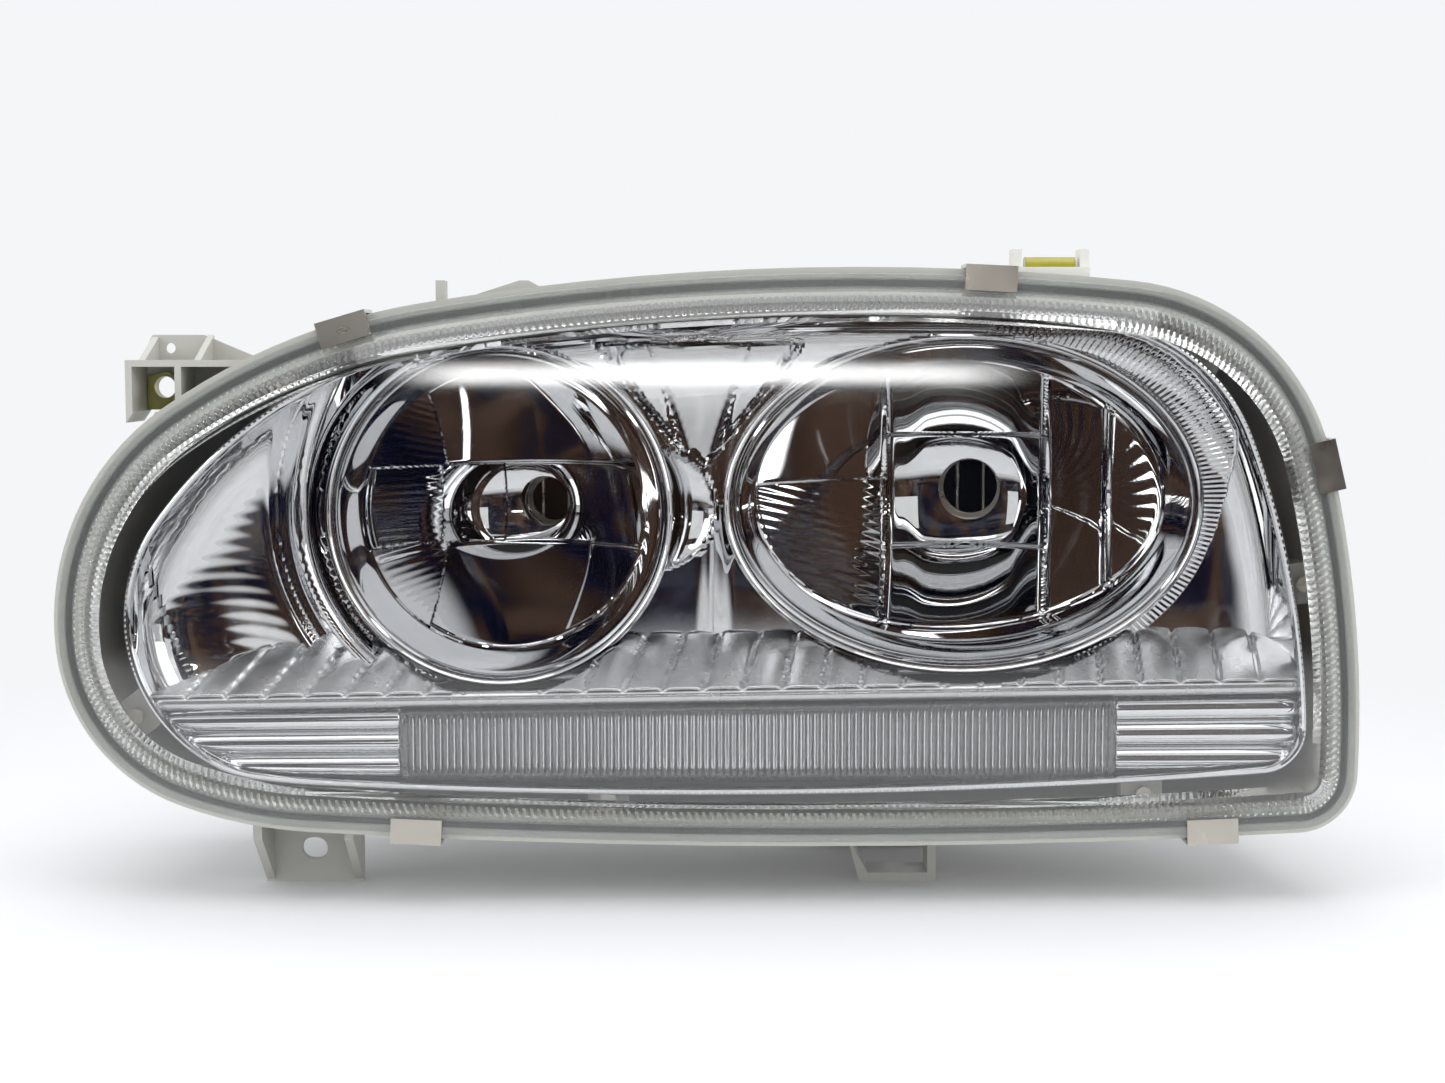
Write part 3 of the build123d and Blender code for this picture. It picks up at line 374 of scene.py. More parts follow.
def drop_faces(bm, unwanted):
    """Deletes the faces whose middle, in lamp millimetres, is unwanted(x, z)."""
    doomed = []
    for face in bm.faces:
        x, _, z = in_lamp(face.calc_center_median())
        if unwanted(x, z):
            doomed.append(face)
    bmesh.ops.delete(bm, geom=doomed, context="FACES")


def front_sheet(columns, rows, shape):
    """Sheet whose faces look to the front."""
    bm = sheet(columns, rows, shape)
    face_front(bm)
    return bm


def join(target, other):
    """Adds one bmesh to another, which is used up."""
    mesh = bpy.data.meshes.new("joined")
    other.to_mesh(mesh)
    other.free()
    target.from_mesh(mesh)
    bpy.data.meshes.remove(mesh)
    return target


def make_piece(name, bm, material, body, replaces, sharp, wall=0.0):
    """Object from a bmesh, shaded smooth up to a corner angle, riding on its body.

    A wall in millimetres thickens an open sheet to the rear.
    """
    mesh = bpy.data.meshes.new(name)
    bm.to_mesh(mesh)
    bm.free()
    mesh.materials.append(material)
    mesh.shade_smooth()
    mesh.set_sharp_from_angle(angle=math.radians(sharp))
    piece = bpy.data.objects.new(name, mesh)
    bpy.context.scene.collection.objects.link(piece)
    if wall:
        solid = piece.modifiers.new("wall", "SOLIDIFY")
        solid.thickness = wall / 1000
        solid.offset = -1.0
    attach(piece, body)
    if replaces:
        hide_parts(*replaces)
    return piece


def blend(a, b, t):
    """Value between a and b at share t."""
    return a + (b - a) * t


def ease(t):
    """Smooth step between 0 and 1, held outside."""
    t = min(max(t, 0.0), 1.0)
    return t * t * (3 - 2 * t)


def hump(distance, middle, width, height):
    """Bell-shaped rise of a height round a distance."""
    return height * math.exp(-((distance - middle) / width) ** 2)


def both_ends(share, length):
    """1 in the middle of a 0 to 1 run, easing to 0 over a length at both ends."""
    return ease(min(share, 1 - share) / length)


def at_step(steps, share):
    """Entry of a list of section steps for a share from 0 to 1."""
    return steps[round(share * (len(steps) - 1))]


# ---------------------------------------------------------------- outer cover

LIP = 6.0                     # flat rim glued to the housing
BAND = 7.5                    # sloping fluted band inside the lip
BAND_RISE = 6.0
BAND_ROUND = 0.6
TONGUE_FROM, TONGUE_TO = 2.2, 4.4
FLUTE_PITCH = 2.5
FLUTE_COLUMNS = 4
FLUTE_DEPTH = 0.95
FLUTE_LEAN = 1.1              # flutes the band leans over by, from its outer to its inner edge
FLUTES_FROM, FLUTES_TO = 4.8, 12.4
FLUTE_RUN_OUT = 0.1
MILKY_BEHIND = -0.2           # faces behind this depth take the milky finish of the edge
SPINE_LEFT, SPINE_RIGHT = -118.0, 150.0
SPINE_CROWDING = 1.3
WINDOW_ROWS, FLUTE_ROWS = 11, 7
WINDOW_SET = 0.3              # how far the window lies behind the crown
WINDOW_WIDE, WINDOW_TALL = 2600.0, 950.0


def window_depth(x, z):
    """Front of the barrel-shaped window."""
    return -CROWN + WINDOW_SET + x * x / (2 * WINDOW_WIDE) + z * z / (2 * WINDOW_TALL)


def cover_profile():
    """Section of the cover as (kind, inset, y): outer skin, lip, tongue, then inner skin."""
    edge = LIP + BAND
    tip = COVER_WALL + TONGUE
    steps = [("window", t, 0.0) for t in np.linspace(1, 0, WINDOW_ROWS)]
    steps += [("loop", edge, -BAND_RISE), ("loop", edge - 0.4, -BAND_RISE + 0.2)]
    steps += [("loop", LIP + BAND_ROUND, -0.7), ("loop", LIP, 0.0), ("loop", 0.5, 0.0),
              ("loop", 0.0, 0.5), ("loop", 0.0, COVER_WALL), ("loop", TONGUE_FROM, COVER_WALL),
              ("loop", TONGUE_FROM, tip), ("loop", TONGUE_TO, tip),
              ("loop", TONGUE_TO, COVER_WALL)]
    steps += [("flute", t, 0.0) for t in np.linspace(0, 1, FLUTE_ROWS)]
    steps += [("inner", t, 0.0) for t in np.linspace(0, 1, WINDOW_ROWS)]
    return steps


def make_cover():
    """Clear cover: plain window, leaning prism flutes on the inside of its sloping band."""
    steps = cover_profile()
    flutes = round(cover_loop.length / FLUTE_PITCH)
    columns = FLUTE_COLUMNS * flutes
    edge = LIP + BAND

    def shape(u, v):
        kind, value, y = at_step(steps, v)
        if kind == "loop":
            x, z = cover_loop.inside(u, value)
            return x, y, z
        if kind == "flute":
            inset = blend(FLUTES_FROM, FLUTES_TO, value)
            x, z = cover_loop.inside(u, inset)
            wave = abs(((u * flutes + value * FLUTE_LEAN) % 1.0) * 2 - 1)
            base = COVER_WALL - BAND_RISE * max(0.0, inset - LIP) / BAND
            return x, base - wave * FLUTE_DEPTH * both_ends(value, FLUTE_RUN_OUT), z
        rim = cover_loop.inside(u, edge + (0.3 if kind == "window" else COVER_WALL - 0.5))
        share = value ** SPINE_CROWDING
        x = blend(rim[0], min(max(rim[0], SPINE_LEFT), SPINE_RIGHT), share)
        z = blend(rim[1], 0.0, share)
        depth = window_depth(x, z)
        return x, depth if kind == "window" else depth + COVER_WALL, z

    bm = sheet(columns, len(steps) - 1, shape)
    bmesh.ops.recalc_face_normals(bm, faces=bm.faces)
    for face in bm.faces:
        x, y, z = in_lamp(face.calc_center_median())
        if y > MILKY_BEHIND and cover_loop.gap(x, z) < FLUTES_TO:
            face.material_index = 1
    cover = make_piece("cover", bm, COVER_CLEAR, "housing", ["lens"], 25)
    cover.data.materials.append(COVER_EDGE)
    cover.visible_shadow = False


# ---------------------------------------------------------------- chrome trim

PLATE_FRONT = 28.0
RIM_FRONT = 6.0
LEDGE_TOP = -43.8
LEDGE_DROP = 5.0
LEDGE_SLOPE = math.tan(math.radians(0.9))
SHELF_RISE = 16.0
RINGS = {
    "high": (-71.3, 13.7, 59.5, 59.5),
    "low": (86.9, 17.4, 82.0, 59.0),
}


PANEL_START = RIM_FRONT + 4   # depth of the panels at the trim's edge
PANEL_INSET = 2.1
PANEL_ROUND = 8.0             # how far in from the edge the panels bend to their full depth
DISH_X, DISH_Z, DISH_RADIUS, DISH_DEPTH = -18.0, 15.0, 20.0, 6.0
FRAME_X, FRAME_TOP, FRAME_HALF, FRAME_SLOPE = -3.0, 72.0, 36.0, 0.8
CREASE_X = 2.0
FAN_FLUTES = 96
FAN_FROM, FAN_TO, FAN_WIDEST = -62.0, 84.0, 44.0
FAN_CLEARANCE = 3.5           # what the fan keeps from the trim's edge
RIBS = 29
RIB_LEAN = 15.0               # sideways lean of the ribs at the shelf's left end
SHELF_FRONT = RIM_FRONT + 2.5
SHEET_WALL = 0.8
RING_SECTION = (              # inset from the ring's outline and depth, front to rear
    (0.0, 28.0), (0.0, 25.2), (0.4, 24.2), (1.3, 23.7), (2.1, 24.1), (2.5, 25.0), (2.9, 25.1),
    (3.3, 24.6), (4.0, 24.5), (4.7, 25.2), (5.4, 27.2), (7.4, 30.9), (9.4, 34.3), (10.8, 36.4),
    (11.0, 36.9), (10.2, 36.9),
)


def ledge_line(x):
    """Height of the ledge's top, which climbs gently to the right."""
    return LEDGE_TOP + x * LEDGE_SLOPE


def ring_share(ring, x, z):
    """Distance from a ring's middle as a share of its radius."""
    cx, cz, rx, rz = ring
    return math.hypot((x - cx) / rx, (z - cz) / rz)


def nearest_ring(x, z):
    return min(ring_share(ring, x, z) for ring in RINGS.values())


def make_trim_rim():
    """Thin rolled chrome edge all round the trim, with its side wall."""
    section = [(0.0, PLATE_FRONT), (0.0, RIM_FRONT + 1), (0.5, RIM_FRONT + 0.2), (1.1, RIM_FRONT),
               (1.8, RIM_FRONT + 0.4), (PANEL_INSET, RIM_FRONT + 1.6), (2.3, PANEL_START)]

    def shape(u, v):
        inset, y = at_step(section, v)
        x, z = trim_loop.inside(u, inset)
        return x, y, z

    return front_sheet(LOOP_POINTS, len(section) - 1, shape)


def trough_relief(x, z):
    """Left of the round ring: gutter, roll and crease along it, then a fine ripple."""
    away = (ring_share(RINGS["high"], x, z) - 1) * RINGS["high"][2]
    if away >= 60:
        return 0.0
    wave = math.sin((z + 0.1 * x + 2 * math.sin(x / 11)) * 1.35)
    return (hump(away, 0.0, 2.6, 7.0) - hump(away, 8.5, 4.6, 6.5) + hump(away, 17.0, 2.2, 2.5)
            + 3.0 * ease((away - 18) / 30) + 0.02 * ease((away - 20) / 6) * wave)


def middle_relief(x, z):
    """Between the rings: a round dish, a narrowing sunk frame above, a crease below."""
    across = math.hypot(x - DISH_X, z - DISH_Z)
    if across < DISH_RADIUS:
        return DISH_DEPTH * (1 - (across / DISH_RADIUS) ** 2)
    if across < DISH_RADIUS + 1:
        return -0.8
    if z > 16:
        side = abs(x - FRAME_X)
        outside = side - (FRAME_HALF - FRAME_SLOPE * (FRAME_TOP - 0.5 - z))
        sunk = ease(-outside / 1.2) * ease((FRAME_TOP - z) / 1.2)
        fold = ease((1.6 - abs(side - 0.3 * (z - 16))) / 1.4)
        return sunk * (4.5 + 0.16 * (FRAME_TOP - z) - 0.5 * fold)
    side = abs(x - CREASE_X)
    if side < 34:
        return 2.4 * ease(side / 7) + 0.04 * (16 - z) - 0.7 * ease((1.2 - side) / 1.2)
    return 0.0


def panel_depth(x, z):
    """Depth of the chrome panels between the trim's edge and the rings."""
    full = 1 - math.exp(-trim_loop.gap(x, z) / PANEL_ROUND)
    depth = PANEL_START + (PLATE_FRONT - PANEL_START) * full
    if x < -90:
        depth += trough_relief(x, z)
    if x > 95:
        depth += 1.2 + 2.5 * ease((x - 171) / 20)
    return depth + middle_relief(x, z)


def make_panels():
    """Chrome panels round the rings, open where the rings stand."""
    left, right = trim_loop.sides()

    def shape(u, v):
        x = blend(left + PANEL_INSET, right - PANEL_INSET, u)
        low = max(trim_loop.reach(x, False) + PANEL_INSET, ledge_line(x) + 0.5)
        high = trim_loop.reach(x, True) - PANEL_INSET
        z = blend(min(low, high), high, v)
        return x, panel_depth(x, z), z

    bm = sheet(420, 130, shape)
    drop_faces(bm, lambda x, z: nearest_ring(x, z) < 0.965)
    face_front(bm)
    return bm


def make_fan():
    """Crescent of fine radial flutes hugging the wide ring's right side."""
    cx, cz, rx, rz = RINGS["low"]

    def spot(degrees, away):
        turn = math.radians(degrees)
        return cx + (rx + away) * math.cos(turn), cz + (rz + away) * math.sin(turn)

    reaches = []
    for i in range(FAN_FLUTES + 1):
        degrees = blend(FAN_FROM, FAN_TO, i / FAN_FLUTES)
        wanted = 4 + hump(degrees, FAN_WIDEST, 30, 19)
        reach = 0.5
        while reach < wanted and trim_loop.gap(*spot(degrees, reach)) >= FAN_CLEARANCE:
            reach += 0.5
        reaches.append(reach)

    def shape(u, v):
        flute = u * FAN_FLUTES
        away = blend(-1.0, float(np.interp(flute, range(FAN_FLUTES + 1), reaches)), v)
        x, z = spot(blend(FAN_FROM, FAN_TO, u), away)
        wave = 0.16 * math.cos(2 * math.pi * flute) * both_ends(v, 0.08)
        return x, panel_depth(x, z) - 0.5 - 0.07 * away + wave, z

    return front_sheet(FAN_FLUTES * 6, 24, shape)


def make_shelf():
    """Satin shelf that climbs from the ledge to the panels, with slanting ribs."""
    left, right = trim_loop.sides()
    left, right = left + 6, right - 2

    def shape(u, v):
        x = blend(left + 42 * v, right, u)
        share = (x - left) / (right - left)
        lean = RIB_LEAN * (1 - share) ** 1.2
        across = ((x - lean * v - left) / (right - left) * RIBS) % 1.0
        groove = ease((0.08 - min(across, 1 - across)) / 0.04)
        swell = 0.45 * math.sin(math.pi * across) - 1.2 * groove
        y = blend(SHELF_FRONT, PLATE_FRONT + 2, v) - swell * 0.6
        return x, y, ledge_line(x) + SHELF_RISE * v + swell * 0.8

    bm = sheet(RIBS * 16, 40, shape)
    drop_faces(bm, lambda x, z: nearest_ring(x, z) < 1.012
               or z > trim_loop.reach(x, True) - 2 or x > right)
    face_front(bm)
    return bm


def make_ledge():
    """Rounded satin bar along the front of the shelf."""
    left, right = trim_loop.sides()
    radius = LEDGE_DROP / 2

    def shape(u, v):
        x = blend(left + 9, right - 2, u)
        turn = math.radians(blend(100, -110, v))
        y = SHELF_FRONT + radius - radius * math.cos(turn)
        return x, y, ledge_line(x) - radius + radius * math.sin(turn)

    return front_sheet(120, 14, shape)


def make_backplate():
    """Plate behind the panels that closes the light bar's recess."""
    left, right = trim_loop.sides()

    def shape(u, v):
        x = blend(left + 1, right - 1, u)
        low = trim_loop.reach(x, False) + 1
        return x, PLATE_FRONT, blend(low, max(low, ledge_line(x) - 2), v)

    return front_sheet(100, 4, shape)


def make_trim():
    """Chrome trim and its satin shelf."""
    trim = join(make_trim_rim(), make_panels())
    join(trim, make_backplate())
    join(trim, make_fan())
    make_piece("trim", trim, CHROME, "housing", ["bezel"], 24, SHEET_WALL)
    shelf = join(make_shelf(), make_ledge())
    make_piece("trim_shelf", shelf, SATIN, "housing", (), 28, SHEET_WALL)


def make_ring(name, ring, node):
    """Chrome ring: rolled double bead at the front and a polished collar leading back."""
    cx, cz, rx, rz = ring

    def shape(u, v):
        inset, y = at_step(RING_SECTION, v)
        turn = 2 * math.pi * u
        return cx + (rx - inset) * math.cos(turn), y, cz + (rz - inset) * math.sin(turn)

    bm = front_sheet(240, len(RING_SECTION) - 1, shape)
    make_piece(name, bm, CHROME, "housing", [node], 40, 0.6)


# ---------------------------------------------------------------- reflector bowls

YAW = math.radians(8.0)       # the beams point this far from straight ahead
BOWL_FRONT = 46.0
RING_SHRINK = 9.5             # the bowl's opening is this much smaller than its ring
HOLE_ROWS, WALL_ROWS = 0.06, 0.9    # shares of the rows where the dish starts and ends
HOLE_WALL = 9.0
LIP_SECTION = ((0.0, BOWL_FRONT), (0.6, BOWL_FRONT), (3.5, BOWL_FRONT), (3.5, BOWL_FRONT + 3))
NECK_START, NECK_END = 2.0, 14.0
LOW_DIVIDERS = (-30.0, 28.0, 50.0)
HIGH_BLOCK = 14.0             # half height of the round bowl's middle block
BOWLS = {
    "high": {"axis": -69.5, "focal": 16.0, "hole": 9.3, "neck": 19.0},
    "low": {"axis": 87.0, "focal": 24.0, "hole": 11.5, "neck": 21.0},
}


def bowl_depth(name):
    """Distance of the bowl's tip behind the trim plate, along the beam."""
    cx, cz, rx, rz = RINGS[name]
    bowl = BOWLS[name]
    reach = rx - RING_SHRINK + abs(bowl["axis"] - cx) + 2
    return (BOWL_FRONT - PLATE_FRONT) / math.cos(YAW) + reach ** 2 / (4 * bowl["focal"])


def beam_point(name, x, z, forward):
    """Lamp point for beam coordinates: x and z across the beam, forward along it."""
    axis, centre_z = BOWLS[name]["axis"], RINGS[name][1]
    return (axis + x * math.cos(YAW) - forward * math.sin(YAW),
            PLATE_FRONT - x * math.sin(YAW) - forward * math.cos(YAW), centre_z + z)


def low_facets(x, z):
    """Relief of the dipped-beam bowl: three upright dividers, a fan of flutes, a centre column."""
    fan_edge, column_edge, right_edge = LOW_DIVIDERS
    if x < fan_edge:
        across = x - fan_edge
        fan = 0.07 * abs(math.sin((z + 0.35 * across) * math.pi / 3.2)) * ease((6 - z) / 3)
        relief = 1.5 + fan - across * 0.02 - 0.5 * ease(z - 4)
    elif x > right_edge:
        relief = 1.3 - (x - right_edge) * 0.05
    elif x > column_edge:
        relief = 0.6 + (x - column_edge) * 0.035
    else:
        relief = 0.9 * ease((abs(z) - 20) / 1.2) + 0.3 * ease((abs(x) - 16) / 10)
    nearest = min(abs(x - divider) for divider in LOW_DIVIDERS)
    return relief + 0.7 * ease((1.8 - nearest) / 1.8)


def high_facets(x, z):
    """Relief of the main-beam bowl: a centre block, fine ribs beside it and wide facets."""
    if abs(z) < HIGH_BLOCK and x < -HIGH_BLOCK:
        return 0.8 if x > -34 else 0.45 + 0.06 * abs(math.sin(z * math.pi / 2.6))
    if x < -32:
        return 0.06 * abs(math.sin((z + 0.25 * z * (x + 32) / 20) * math.pi / 2.6))
    if z > HIGH_BLOCK:
        return 0.5 * ease((z - HIGH_BLOCK) / 1.5) + 0.09 * (z - HIGH_BLOCK)
    if z < -HIGH_BLOCK:
        return 0.4 * ease((-z - HIGH_BLOCK) / 1.5) - 0.08 * (z + HIGH_BLOCK)
    return 0.0


def make_lip(name):
    """Flat lip round the bowl's opening."""
    cx, cz, rx, rz = RINGS[name]

    def shape(u, v):
        grow, y = at_step(LIP_SECTION, v)
        turn = 2 * math.pi * u
        reach_x, reach_z = rx - RING_SHRINK + grow, rz - RING_SHRINK + grow
        return cx + reach_x * math.cos(turn), y, cz + reach_z * math.sin(turn)

    return front_sheet(240, len(LIP_SECTION) - 1, shape)


def make_neck(name):
    """Round neck behind the bowl, round its bulb hole."""
    bowl, depth = BOWLS[name], bowl_depth(name)
    section = ((NECK_START, bowl["neck"]), (NECK_END, bowl["neck"]),
               (NECK_END, bowl["hole"] + 0.5))

    def shape(u, v):
        back, radius = at_step(section, v)
        turn = 2 * math.pi * u
        x, z = radius * math.cos(turn), radius * math.sin(turn)
        return beam_point(name, x, z, -depth - back)

    bm = sheet(96, len(section) - 1, shape)
    bmesh.ops.recalc_face_normals(bm, faces=bm.faces)
    return bm


def make_bowl(name, relief, node):
    """Reflector bowl: wall of the bulb hole, faceted dish, oval wall, lip and neck."""
    cx, _, rx, rz = RINGS[name]
    bowl = BOWLS[name]
    depth, focal, hole = bowl_depth(name), bowl["focal"], bowl["hole"]
    half_x, half_z = rx - RING_SHRINK, rz - RING_SHRINK

    def dish(x, z):
        return -depth + (x ** 2 + z ** 2) / (4 * focal)

    def rim_reach(turn):
        """Beam coordinates where the dish meets the opening's oval wall."""
        x, z = half_x * math.cos(turn), half_z * math.sin(turn)
        across = x
        for _ in range(6):
            straight = cx + x - bowl["axis"]
            across = (straight + dish(across, z) * math.sin(YAW)) / math.cos(YAW)
        return across, z

    def shape(u, v):
        x1, z1 = rim_reach(2 * math.pi * u)
        angle = math.atan2(z1, x1)
        x0, z0 = hole * math.cos(angle), hole * math.sin(angle)
        if v < HOLE_ROWS:
            back = (HOLE_ROWS - v) / HOLE_ROWS * HOLE_WALL
            return beam_point(name, x0, z0, dish(x0, z0) - back)
        if v > WALL_ROWS:
            x, y, z = beam_point(name, x1, z1, dish(x1, z1))
            return x, blend(y, BOWL_FRONT, ease((v - WALL_ROWS) / (1 - WALL_ROWS))), z
        share = (v - HOLE_ROWS) / (WALL_ROWS - HOLE_ROWS)
        x, z = blend(x0, x1, share), blend(z0, z1, share)
        fade = ease((1 - share) / 0.04)
        return beam_point(name, x, z, dish(x, z) + relief(x, z) * fade)

    bm = join(front_sheet(480, 100, shape), make_lip(name))
    join(bm, make_neck(name))
    make_piece("bowl_" + name, bm, BOWL_CHROME, "carrier", [node], 18, 1.2)


# ---------------------------------------------------------------- light bar

STRIP_FLUTES = 104
LOUVRE_WAVES = 3


def make_strip():
    """Clear strip with rounded upright flutes on its front."""
    low, high = node_limits("light_bar_lens")
    base = low.z + 1.6

    def shape(u, v):
        x = blend(low.x, high.x, u)
        top = ledge_line(x) - LEDGE_DROP - 1.0
        wave = abs(math.sin(math.pi * u * STRIP_FLUTES)) * both_ends(v, 0.12)
        return x, low.y + 0.3 + 0.9 * (1 - wave), blend(base, top, v)

    bm = front_sheet(STRIP_FLUTES * 8, 14, shape)
    strip = make_piece("bar_strip", bm, STRIP_CLEAR, "housing",
                       ["light_bar_lens"], 60, 1.6)
    strip.visible_shadow = False


def make_bar_tray():
    """Trough behind the strip with two bright level steps, in chrome whose colour is painted dark:
    painted shade of the recess under the ledge and painted dark reflection.
    """
    low, high = node_limits("light_bar_reflector")
    steps = [(0.0, low.y + 0.5), (0.10, high.y - 5), (0.16, high.y - 1.5), (0.40, high.y - 2.5),
             (0.44, high.y - 4), (0.50, high.y - 4), (0.54, high.y - 2.0), (0.90, high.y - 4),
             (1.0, low.y + 0.5)]

    def shape(u, v):
        x = blend(low.x + 0.5, high.x - 0.5, u)
        share, y = at_step(steps, v)
        top = ledge_line(x) - LEDGE_DROP - 0.8
        return x, y, blend(low.z + 1.5, top, share)

    bm = front_sheet(60, len(steps) - 1, shape)
    make_piece("bar_tray", bm, PAINTED_DARK_BAR_CHROME, "housing",
               ["light_bar_reflector"], 30, SHEET_WALL)


def make_louvre(name, node):
    """Chrome block of three level half-round flutes with thin lines between."""
    low, high = node_limits(node)

    def shape(u, v):
        x = blend(low.x, high.x, u)
        floor = trim_loop.reach(x, False) + 2.6
        top = ledge_line(x) - LEDGE_DROP - 0.6
        share = (v * LOUVRE_WAVES) % 1.0 if v < 1 else 1.0
        bulge = math.sin(math.pi * share) ** 0.7 if 0 < share < 1 else 0.0
        z = max(blend(low.z, top, v), min(floor, top))
        return x, low.y + 3.0 - 2.9 * bulge, z

    bm = front_sheet(60, 16 * LOUVRE_WAVES, shape)
    make_piece(name, bm, CHROME, "housing", [node], 40, SHEET_WALL)


# ---------------------------------------------------------------- CAD nodes that stay

def paint(material, *nodes):
    """Gives CAD nodes their finish."""
    for name in nodes:
        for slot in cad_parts[name].material_slots:
            slot.material = material


def paint_nodes():
    """Finish of every CAD node that no finer piece replaces."""
    paint(HOUSING, "housing")
    paint(SEALANT, "lens_seal")
    paint(RUBBER, "cap_seal_high", "cap_seal_low", "adjuster_bush_vertical",
          "adjuster_bush_horizontal", "vent_caps")
    paint(STEEL, "edge_clips", "bulb_spring_high", "bulb_spring_low", "bezel_screws",
          "connector_screws", "pivot_stud", "bulb_seat_high", "bulb_seat_low")
    paint(ZINC, "bracket_plate")
    paint(BLACK, "connector", "cap_high", "cap_low", "reflector_frame")
    paint(BRASS, "connector_pins")
    paint(NYLON, "level_holder", "pivot_socket", "adjuster_vertical", "adjuster_horizontal",
          "adjuster_nut_vertical", "adjuster_nut_horizontal")
    paint(VIAL, "level_vial")


# ---------------------------------------------------------------- stage, light and camera

BACKGROUND = "#F5F6F8"
WALL_DISTANCE = 0.95
ROOM_WIDTH = 2.8
TABLE_FROM, TABLE_TO = -0.52, -0.36       # where the dark room fades into the pale table
STRIP_LENGTH, STRIP_WIDTH = 0.62, 0.044
STRIP_TAPER = 0.11                        # length of the strip light's fading ends
STRIP_STRENGTH = 10.0
CAMERA_LENS_MM, SENSOR_MM = 54.0, 36.0
CAMERA_DISTANCE = 0.715
CAMERA_RISE = math.radians(5.0)


def stage_plane(name, material, middle, along, up):
    """Flat stage card from its middle and its two sides."""
    bm = bmesh.new()
    bmesh.ops.create_grid(bm, x_segments=1, y_segments=1, size=0.5)
    for vert in bm.verts:
        vert.co = Vector(middle) + Vector(along) * vert.co.x + Vector(up) * vert.co.y
    mesh = bpy.data.meshes.new(name)
    bm.to_mesh(mesh)
    bm.free()
    mesh.materials.append(material)
    card = bpy.data.objects.new(name, mesh)
    bpy.context.scene.collection.objects.link(card)
    return card


def only_in_mirrors(card):
    """Keeps a stage card out of everything but reflections and clear parts."""
    card.visible_camera = False
    card.visible_diffuse = False
    card.visible_shadow = False
    card.visible_volume_scatter = False


def make_floor():
    """Pale paper that turns into the white surroundings away from the lamp."""
    material, shader, place = new_material("matt_white_paper", Roughness=0.9,
                                           Base_Color=linear("#EDEEF0"))
    glow = add_node(material, "ShaderNodeEmission", Color=linear(BACKGROUND), Strength=1.0)
    away = add_node(material, "ShaderNodeVectorMath", [(0, place)], operation="LENGTH")
    fade = add_node(material, "ShaderNodeMapRange", [("Value", away.outputs["Value"])],
                    interpolation_type="SMOOTHSTEP", From_Min=0.28, From_Max=0.62)
    mixed = add_node(material, "ShaderNodeMixShader", [
        (0, fade.outputs["Result"]), (1, shader.outputs["BSDF"]), (2, glow.outputs["Emission"])])
    output = next(n for n in material.node_tree.nodes if n.type == "OUTPUT_MATERIAL")
    material.node_tree.links.new(output.inputs["Surface"], mixed.outputs["Shader"])
    stage_plane("floor", material, (0, 0, 0), (12, 0, 0), (0, 12, 0))


def make_dark_room():
    """Dark room beyond the table's front edge, for the chrome to show, and the table's shade."""
    material = blank_material("dark_room")
    place = add_node(material, "ShaderNodeTexCoord").outputs["Object"]
    cloud = noise(material, place, 260, 1.0, (1, 1, 0.6))
    ramp = add_node(material, "ShaderNodeValToRGB", [("Fac", cloud)])
    shades = ((0.30, "#06070D"), (0.46, "#10142C"), (0.55, "#38281F"), (0.70, "#5A463A"))
    for i, (spot, colour) in enumerate(shades):
        stop = ramp.color_ramp.elements[i] if i < 2 else ramp.color_ramp.elements.new(spot)
        stop.position = spot
        stop.color = linear(colour)
    axes = add_node(material, "ShaderNodeSeparateXYZ", [("Vector", place)])
    fade = add_node(material, "ShaderNodeMapRange", [("Value", axes.outputs["Y"])],
                    interpolation_type="SMOOTHSTEP", From_Min=TABLE_FROM, From_Max=TABLE_TO)
    shade = add_node(material, "ShaderNodeMix", [(0, fade.outputs["Result"])], data_type="RGBA")
    material.node_tree.links.new(shade.inputs[6], ramp.outputs["Color"])
    shade.inputs[7].default_value = linear(BACKGROUND)
    glow = add_node(material, "ShaderNodeEmission", [("Color", shade.outputs[2])], Strength=1.0)
    add_node(material, "ShaderNodeOutputMaterial", [("Surface", glow.outputs["Emission"])])
    only_in_mirrors(stage_plane("dark_wall", material, (0, -WALL_DISTANCE, 0.42),
                                (ROOM_WIDTH, 0, 0), (0, 0, 0.84)))
    only_in_mirrors(stage_plane("dark_table", material, (0, -0.65, 0.001),
                                (ROOM_WIDTH, 0, 0), (0, 0.6, 0)))


def make_screens():
    """Two pale screens at the dark wall's sides, for the ends of the chrome to show."""
    material = blank_material("pale_screen")
    glow = add_node(material, "ShaderNodeEmission", Color=linear("#F4F5F7"), Strength=1.15)
    add_node(material, "ShaderNodeOutputMaterial", [("Surface", glow.outputs["Emission"])])
    only_in_mirrors(stage_plane("screen_left", material, (-0.95, -0.93, 0.38),
                                (0.4, 0, 0), (0, 0, 0.6)))
    only_in_mirrors(stage_plane("screen_right", material, (0.98, -0.93, 0.42),
                                (0.4, 0, 0), (0, 0, 0.5)))


def fade_out(material, coordinate, middle, end, full, strength):
    """Strength along one coordinate: highest near the middle, nothing past the end."""
    off = add_node(material, "ShaderNodeMath", [(0, coordinate)], operation="SUBTRACT")
    off.inputs[1].default_value = middle
    off = add_node(material, "ShaderNodeMath", [(0, off.outputs["Value"])], operation="ABSOLUTE")
    return add_node(material, "ShaderNodeMapRange", [("Value", off.outputs["Value"])],
                    interpolation_type="SMOOTHERSTEP", From_Min=end, From_Max=full,
                    To_Min=0.0, To_Max=strength).outputs["Result"]


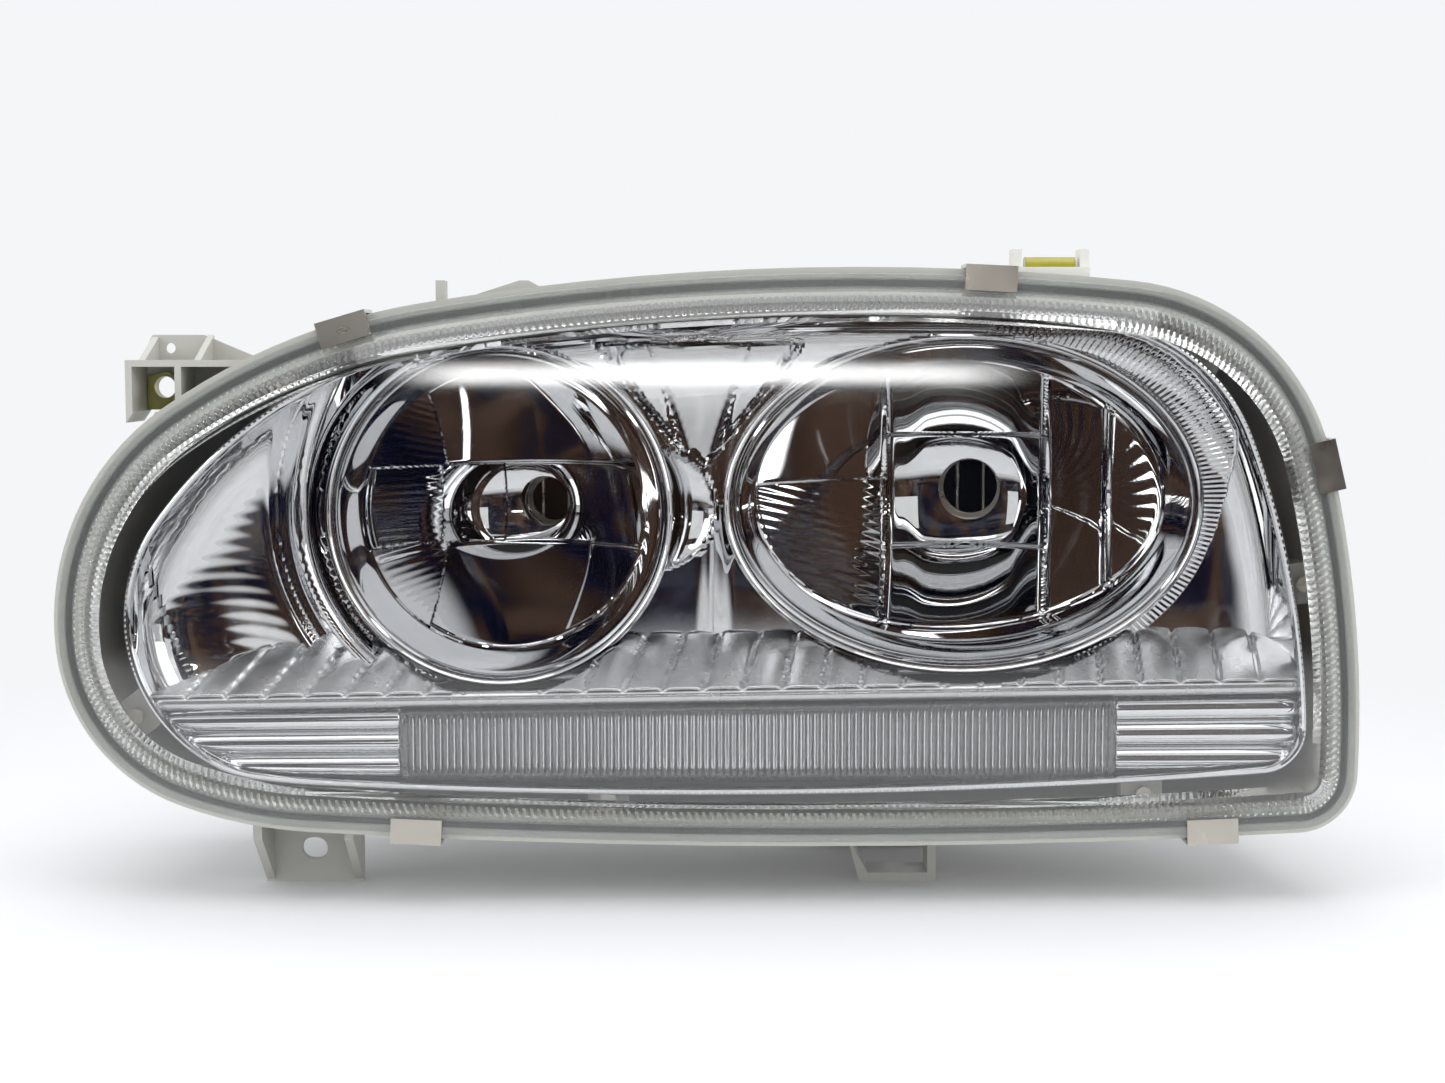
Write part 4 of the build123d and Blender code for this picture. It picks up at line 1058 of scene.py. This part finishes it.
def make_strip_light():
    """Long thin lamp above the camera: the bright line across the cover."""
    material = blank_material("strip_light")
    middle = in_frame(-5, -820, 158)
    spot = add_node(material, "ShaderNodeTexCoord").outputs["Object"]
    axes = add_node(material, "ShaderNodeSeparateXYZ", [("Vector", spot)])
    half = STRIP_LENGTH / 2
    upright = fade_out(material, axes.outputs["Z"], middle.z, STRIP_WIDTH / 2, 0.0,
                       STRIP_STRENGTH)
    along = fade_out(material, axes.outputs["X"], middle.x, half, half - STRIP_TAPER, 1.0)
    power = add_node(material, "ShaderNodeMath", [(0, upright), (1, along)],
                     operation="MULTIPLY")
    glow = add_node(material, "ShaderNodeEmission", [("Strength", power.outputs["Value"])],
                    Color=linear("#FFFFFF"))
    add_node(material, "ShaderNodeOutputMaterial", [("Surface", glow.outputs["Emission"])])
    only_in_mirrors(stage_plane("strip_light", material, middle, (STRIP_LENGTH, 0, 0),
                                (0, 0, STRIP_WIDTH)))


def add_light(name, place, target, size, power):
    """Square area lamp that looks at a target."""
    data = bpy.data.lights.new(name, "AREA")
    data.size = size
    data.energy = power
    light = bpy.data.objects.new(name, data)
    light.location = place
    light.rotation_mode = "QUATERNION"
    light.rotation_quaternion = (Vector(target) - Vector(place)).to_track_quat("-Z", "Y")
    bpy.context.scene.collection.objects.link(light)


def make_lights():
    """One large soft light overhead and one at each side."""
    middle = in_frame(0, 20, 0)
    add_light("overhead", middle + Vector((0.0, -0.1, 1.1)), middle, 1.2, 9.0)
    add_light("left_softbox", middle + Vector((-1.2, -0.7, 0.5)), middle, 0.8, 5.0)
    add_light("right_softbox", middle + Vector((1.2, -0.7, 0.5)), middle, 0.8, 5.0)


def make_world():
    """White surroundings; what they give matt surfaces is a little dimmer."""
    world = bpy.data.worlds.new("studio")
    bpy.context.scene.world = world
    world.use_nodes = True
    world.node_tree.nodes.clear()
    ray = add_node(world, "ShaderNodeLightPath")
    mirrored = add_node(world, "ShaderNodeMath", [(0, ray.outputs["Is Glossy Ray"]),
                                                  (1, ray.outputs["Is Transmission Ray"])],
                        operation="MAXIMUM")
    white = add_node(world, "ShaderNodeMath", [(0, mirrored.outputs["Value"]),
                                               (1, ray.outputs["Is Camera Ray"])],
                     operation="MAXIMUM")
    seen = add_node(world, "ShaderNodeMix", [(0, white.outputs["Value"])], data_type="RGBA")
    seen.inputs[6].default_value = linear("#D5D6D8")
    seen.inputs[7].default_value = linear(BACKGROUND)
    shade = add_node(world, "ShaderNodeBackground", [("Color", seen.outputs[2])], Strength=1.0)
    add_node(world, "ShaderNodeOutputWorld", [("Surface", shade.outputs["Background"])])


def make_camera():
    """Camera at the front, a little above the lamp's middle."""
    data = bpy.data.cameras.new("camera")
    data.lens = CAMERA_LENS_MM
    data.sensor_width = SENSOR_MM
    camera = bpy.data.objects.new("camera", data)
    target = in_frame(4.8, 0.0, 6.4)
    back = Vector((0.0, -math.cos(CAMERA_RISE), math.sin(CAMERA_RISE)))
    camera.location = target + back * CAMERA_DISTANCE
    camera.rotation_mode = "QUATERNION"
    camera.rotation_quaternion = (-back).to_track_quat("-Z", "Y")
    bpy.context.scene.collection.objects.link(camera)
    bpy.context.scene.camera = camera


make_cover()
make_trim()
make_ring("ring_main", RINGS["high"], "ring_high")
make_ring("ring_dipped", RINGS["low"], "ring_low")
make_bowl("high", high_facets, "reflector_high")
make_bowl("low", low_facets, "reflector_low")
make_strip()
make_bar_tray()
make_louvre("louvre_left_flutes", "louvre_left")
make_louvre("louvre_right_flutes", "louvre_right")
paint_nodes()
make_floor()
make_dark_room()
make_screens()
make_strip_light()
make_world()
make_lights()
make_camera()
bpy.context.scene.view_settings.view_transform = "Standard"
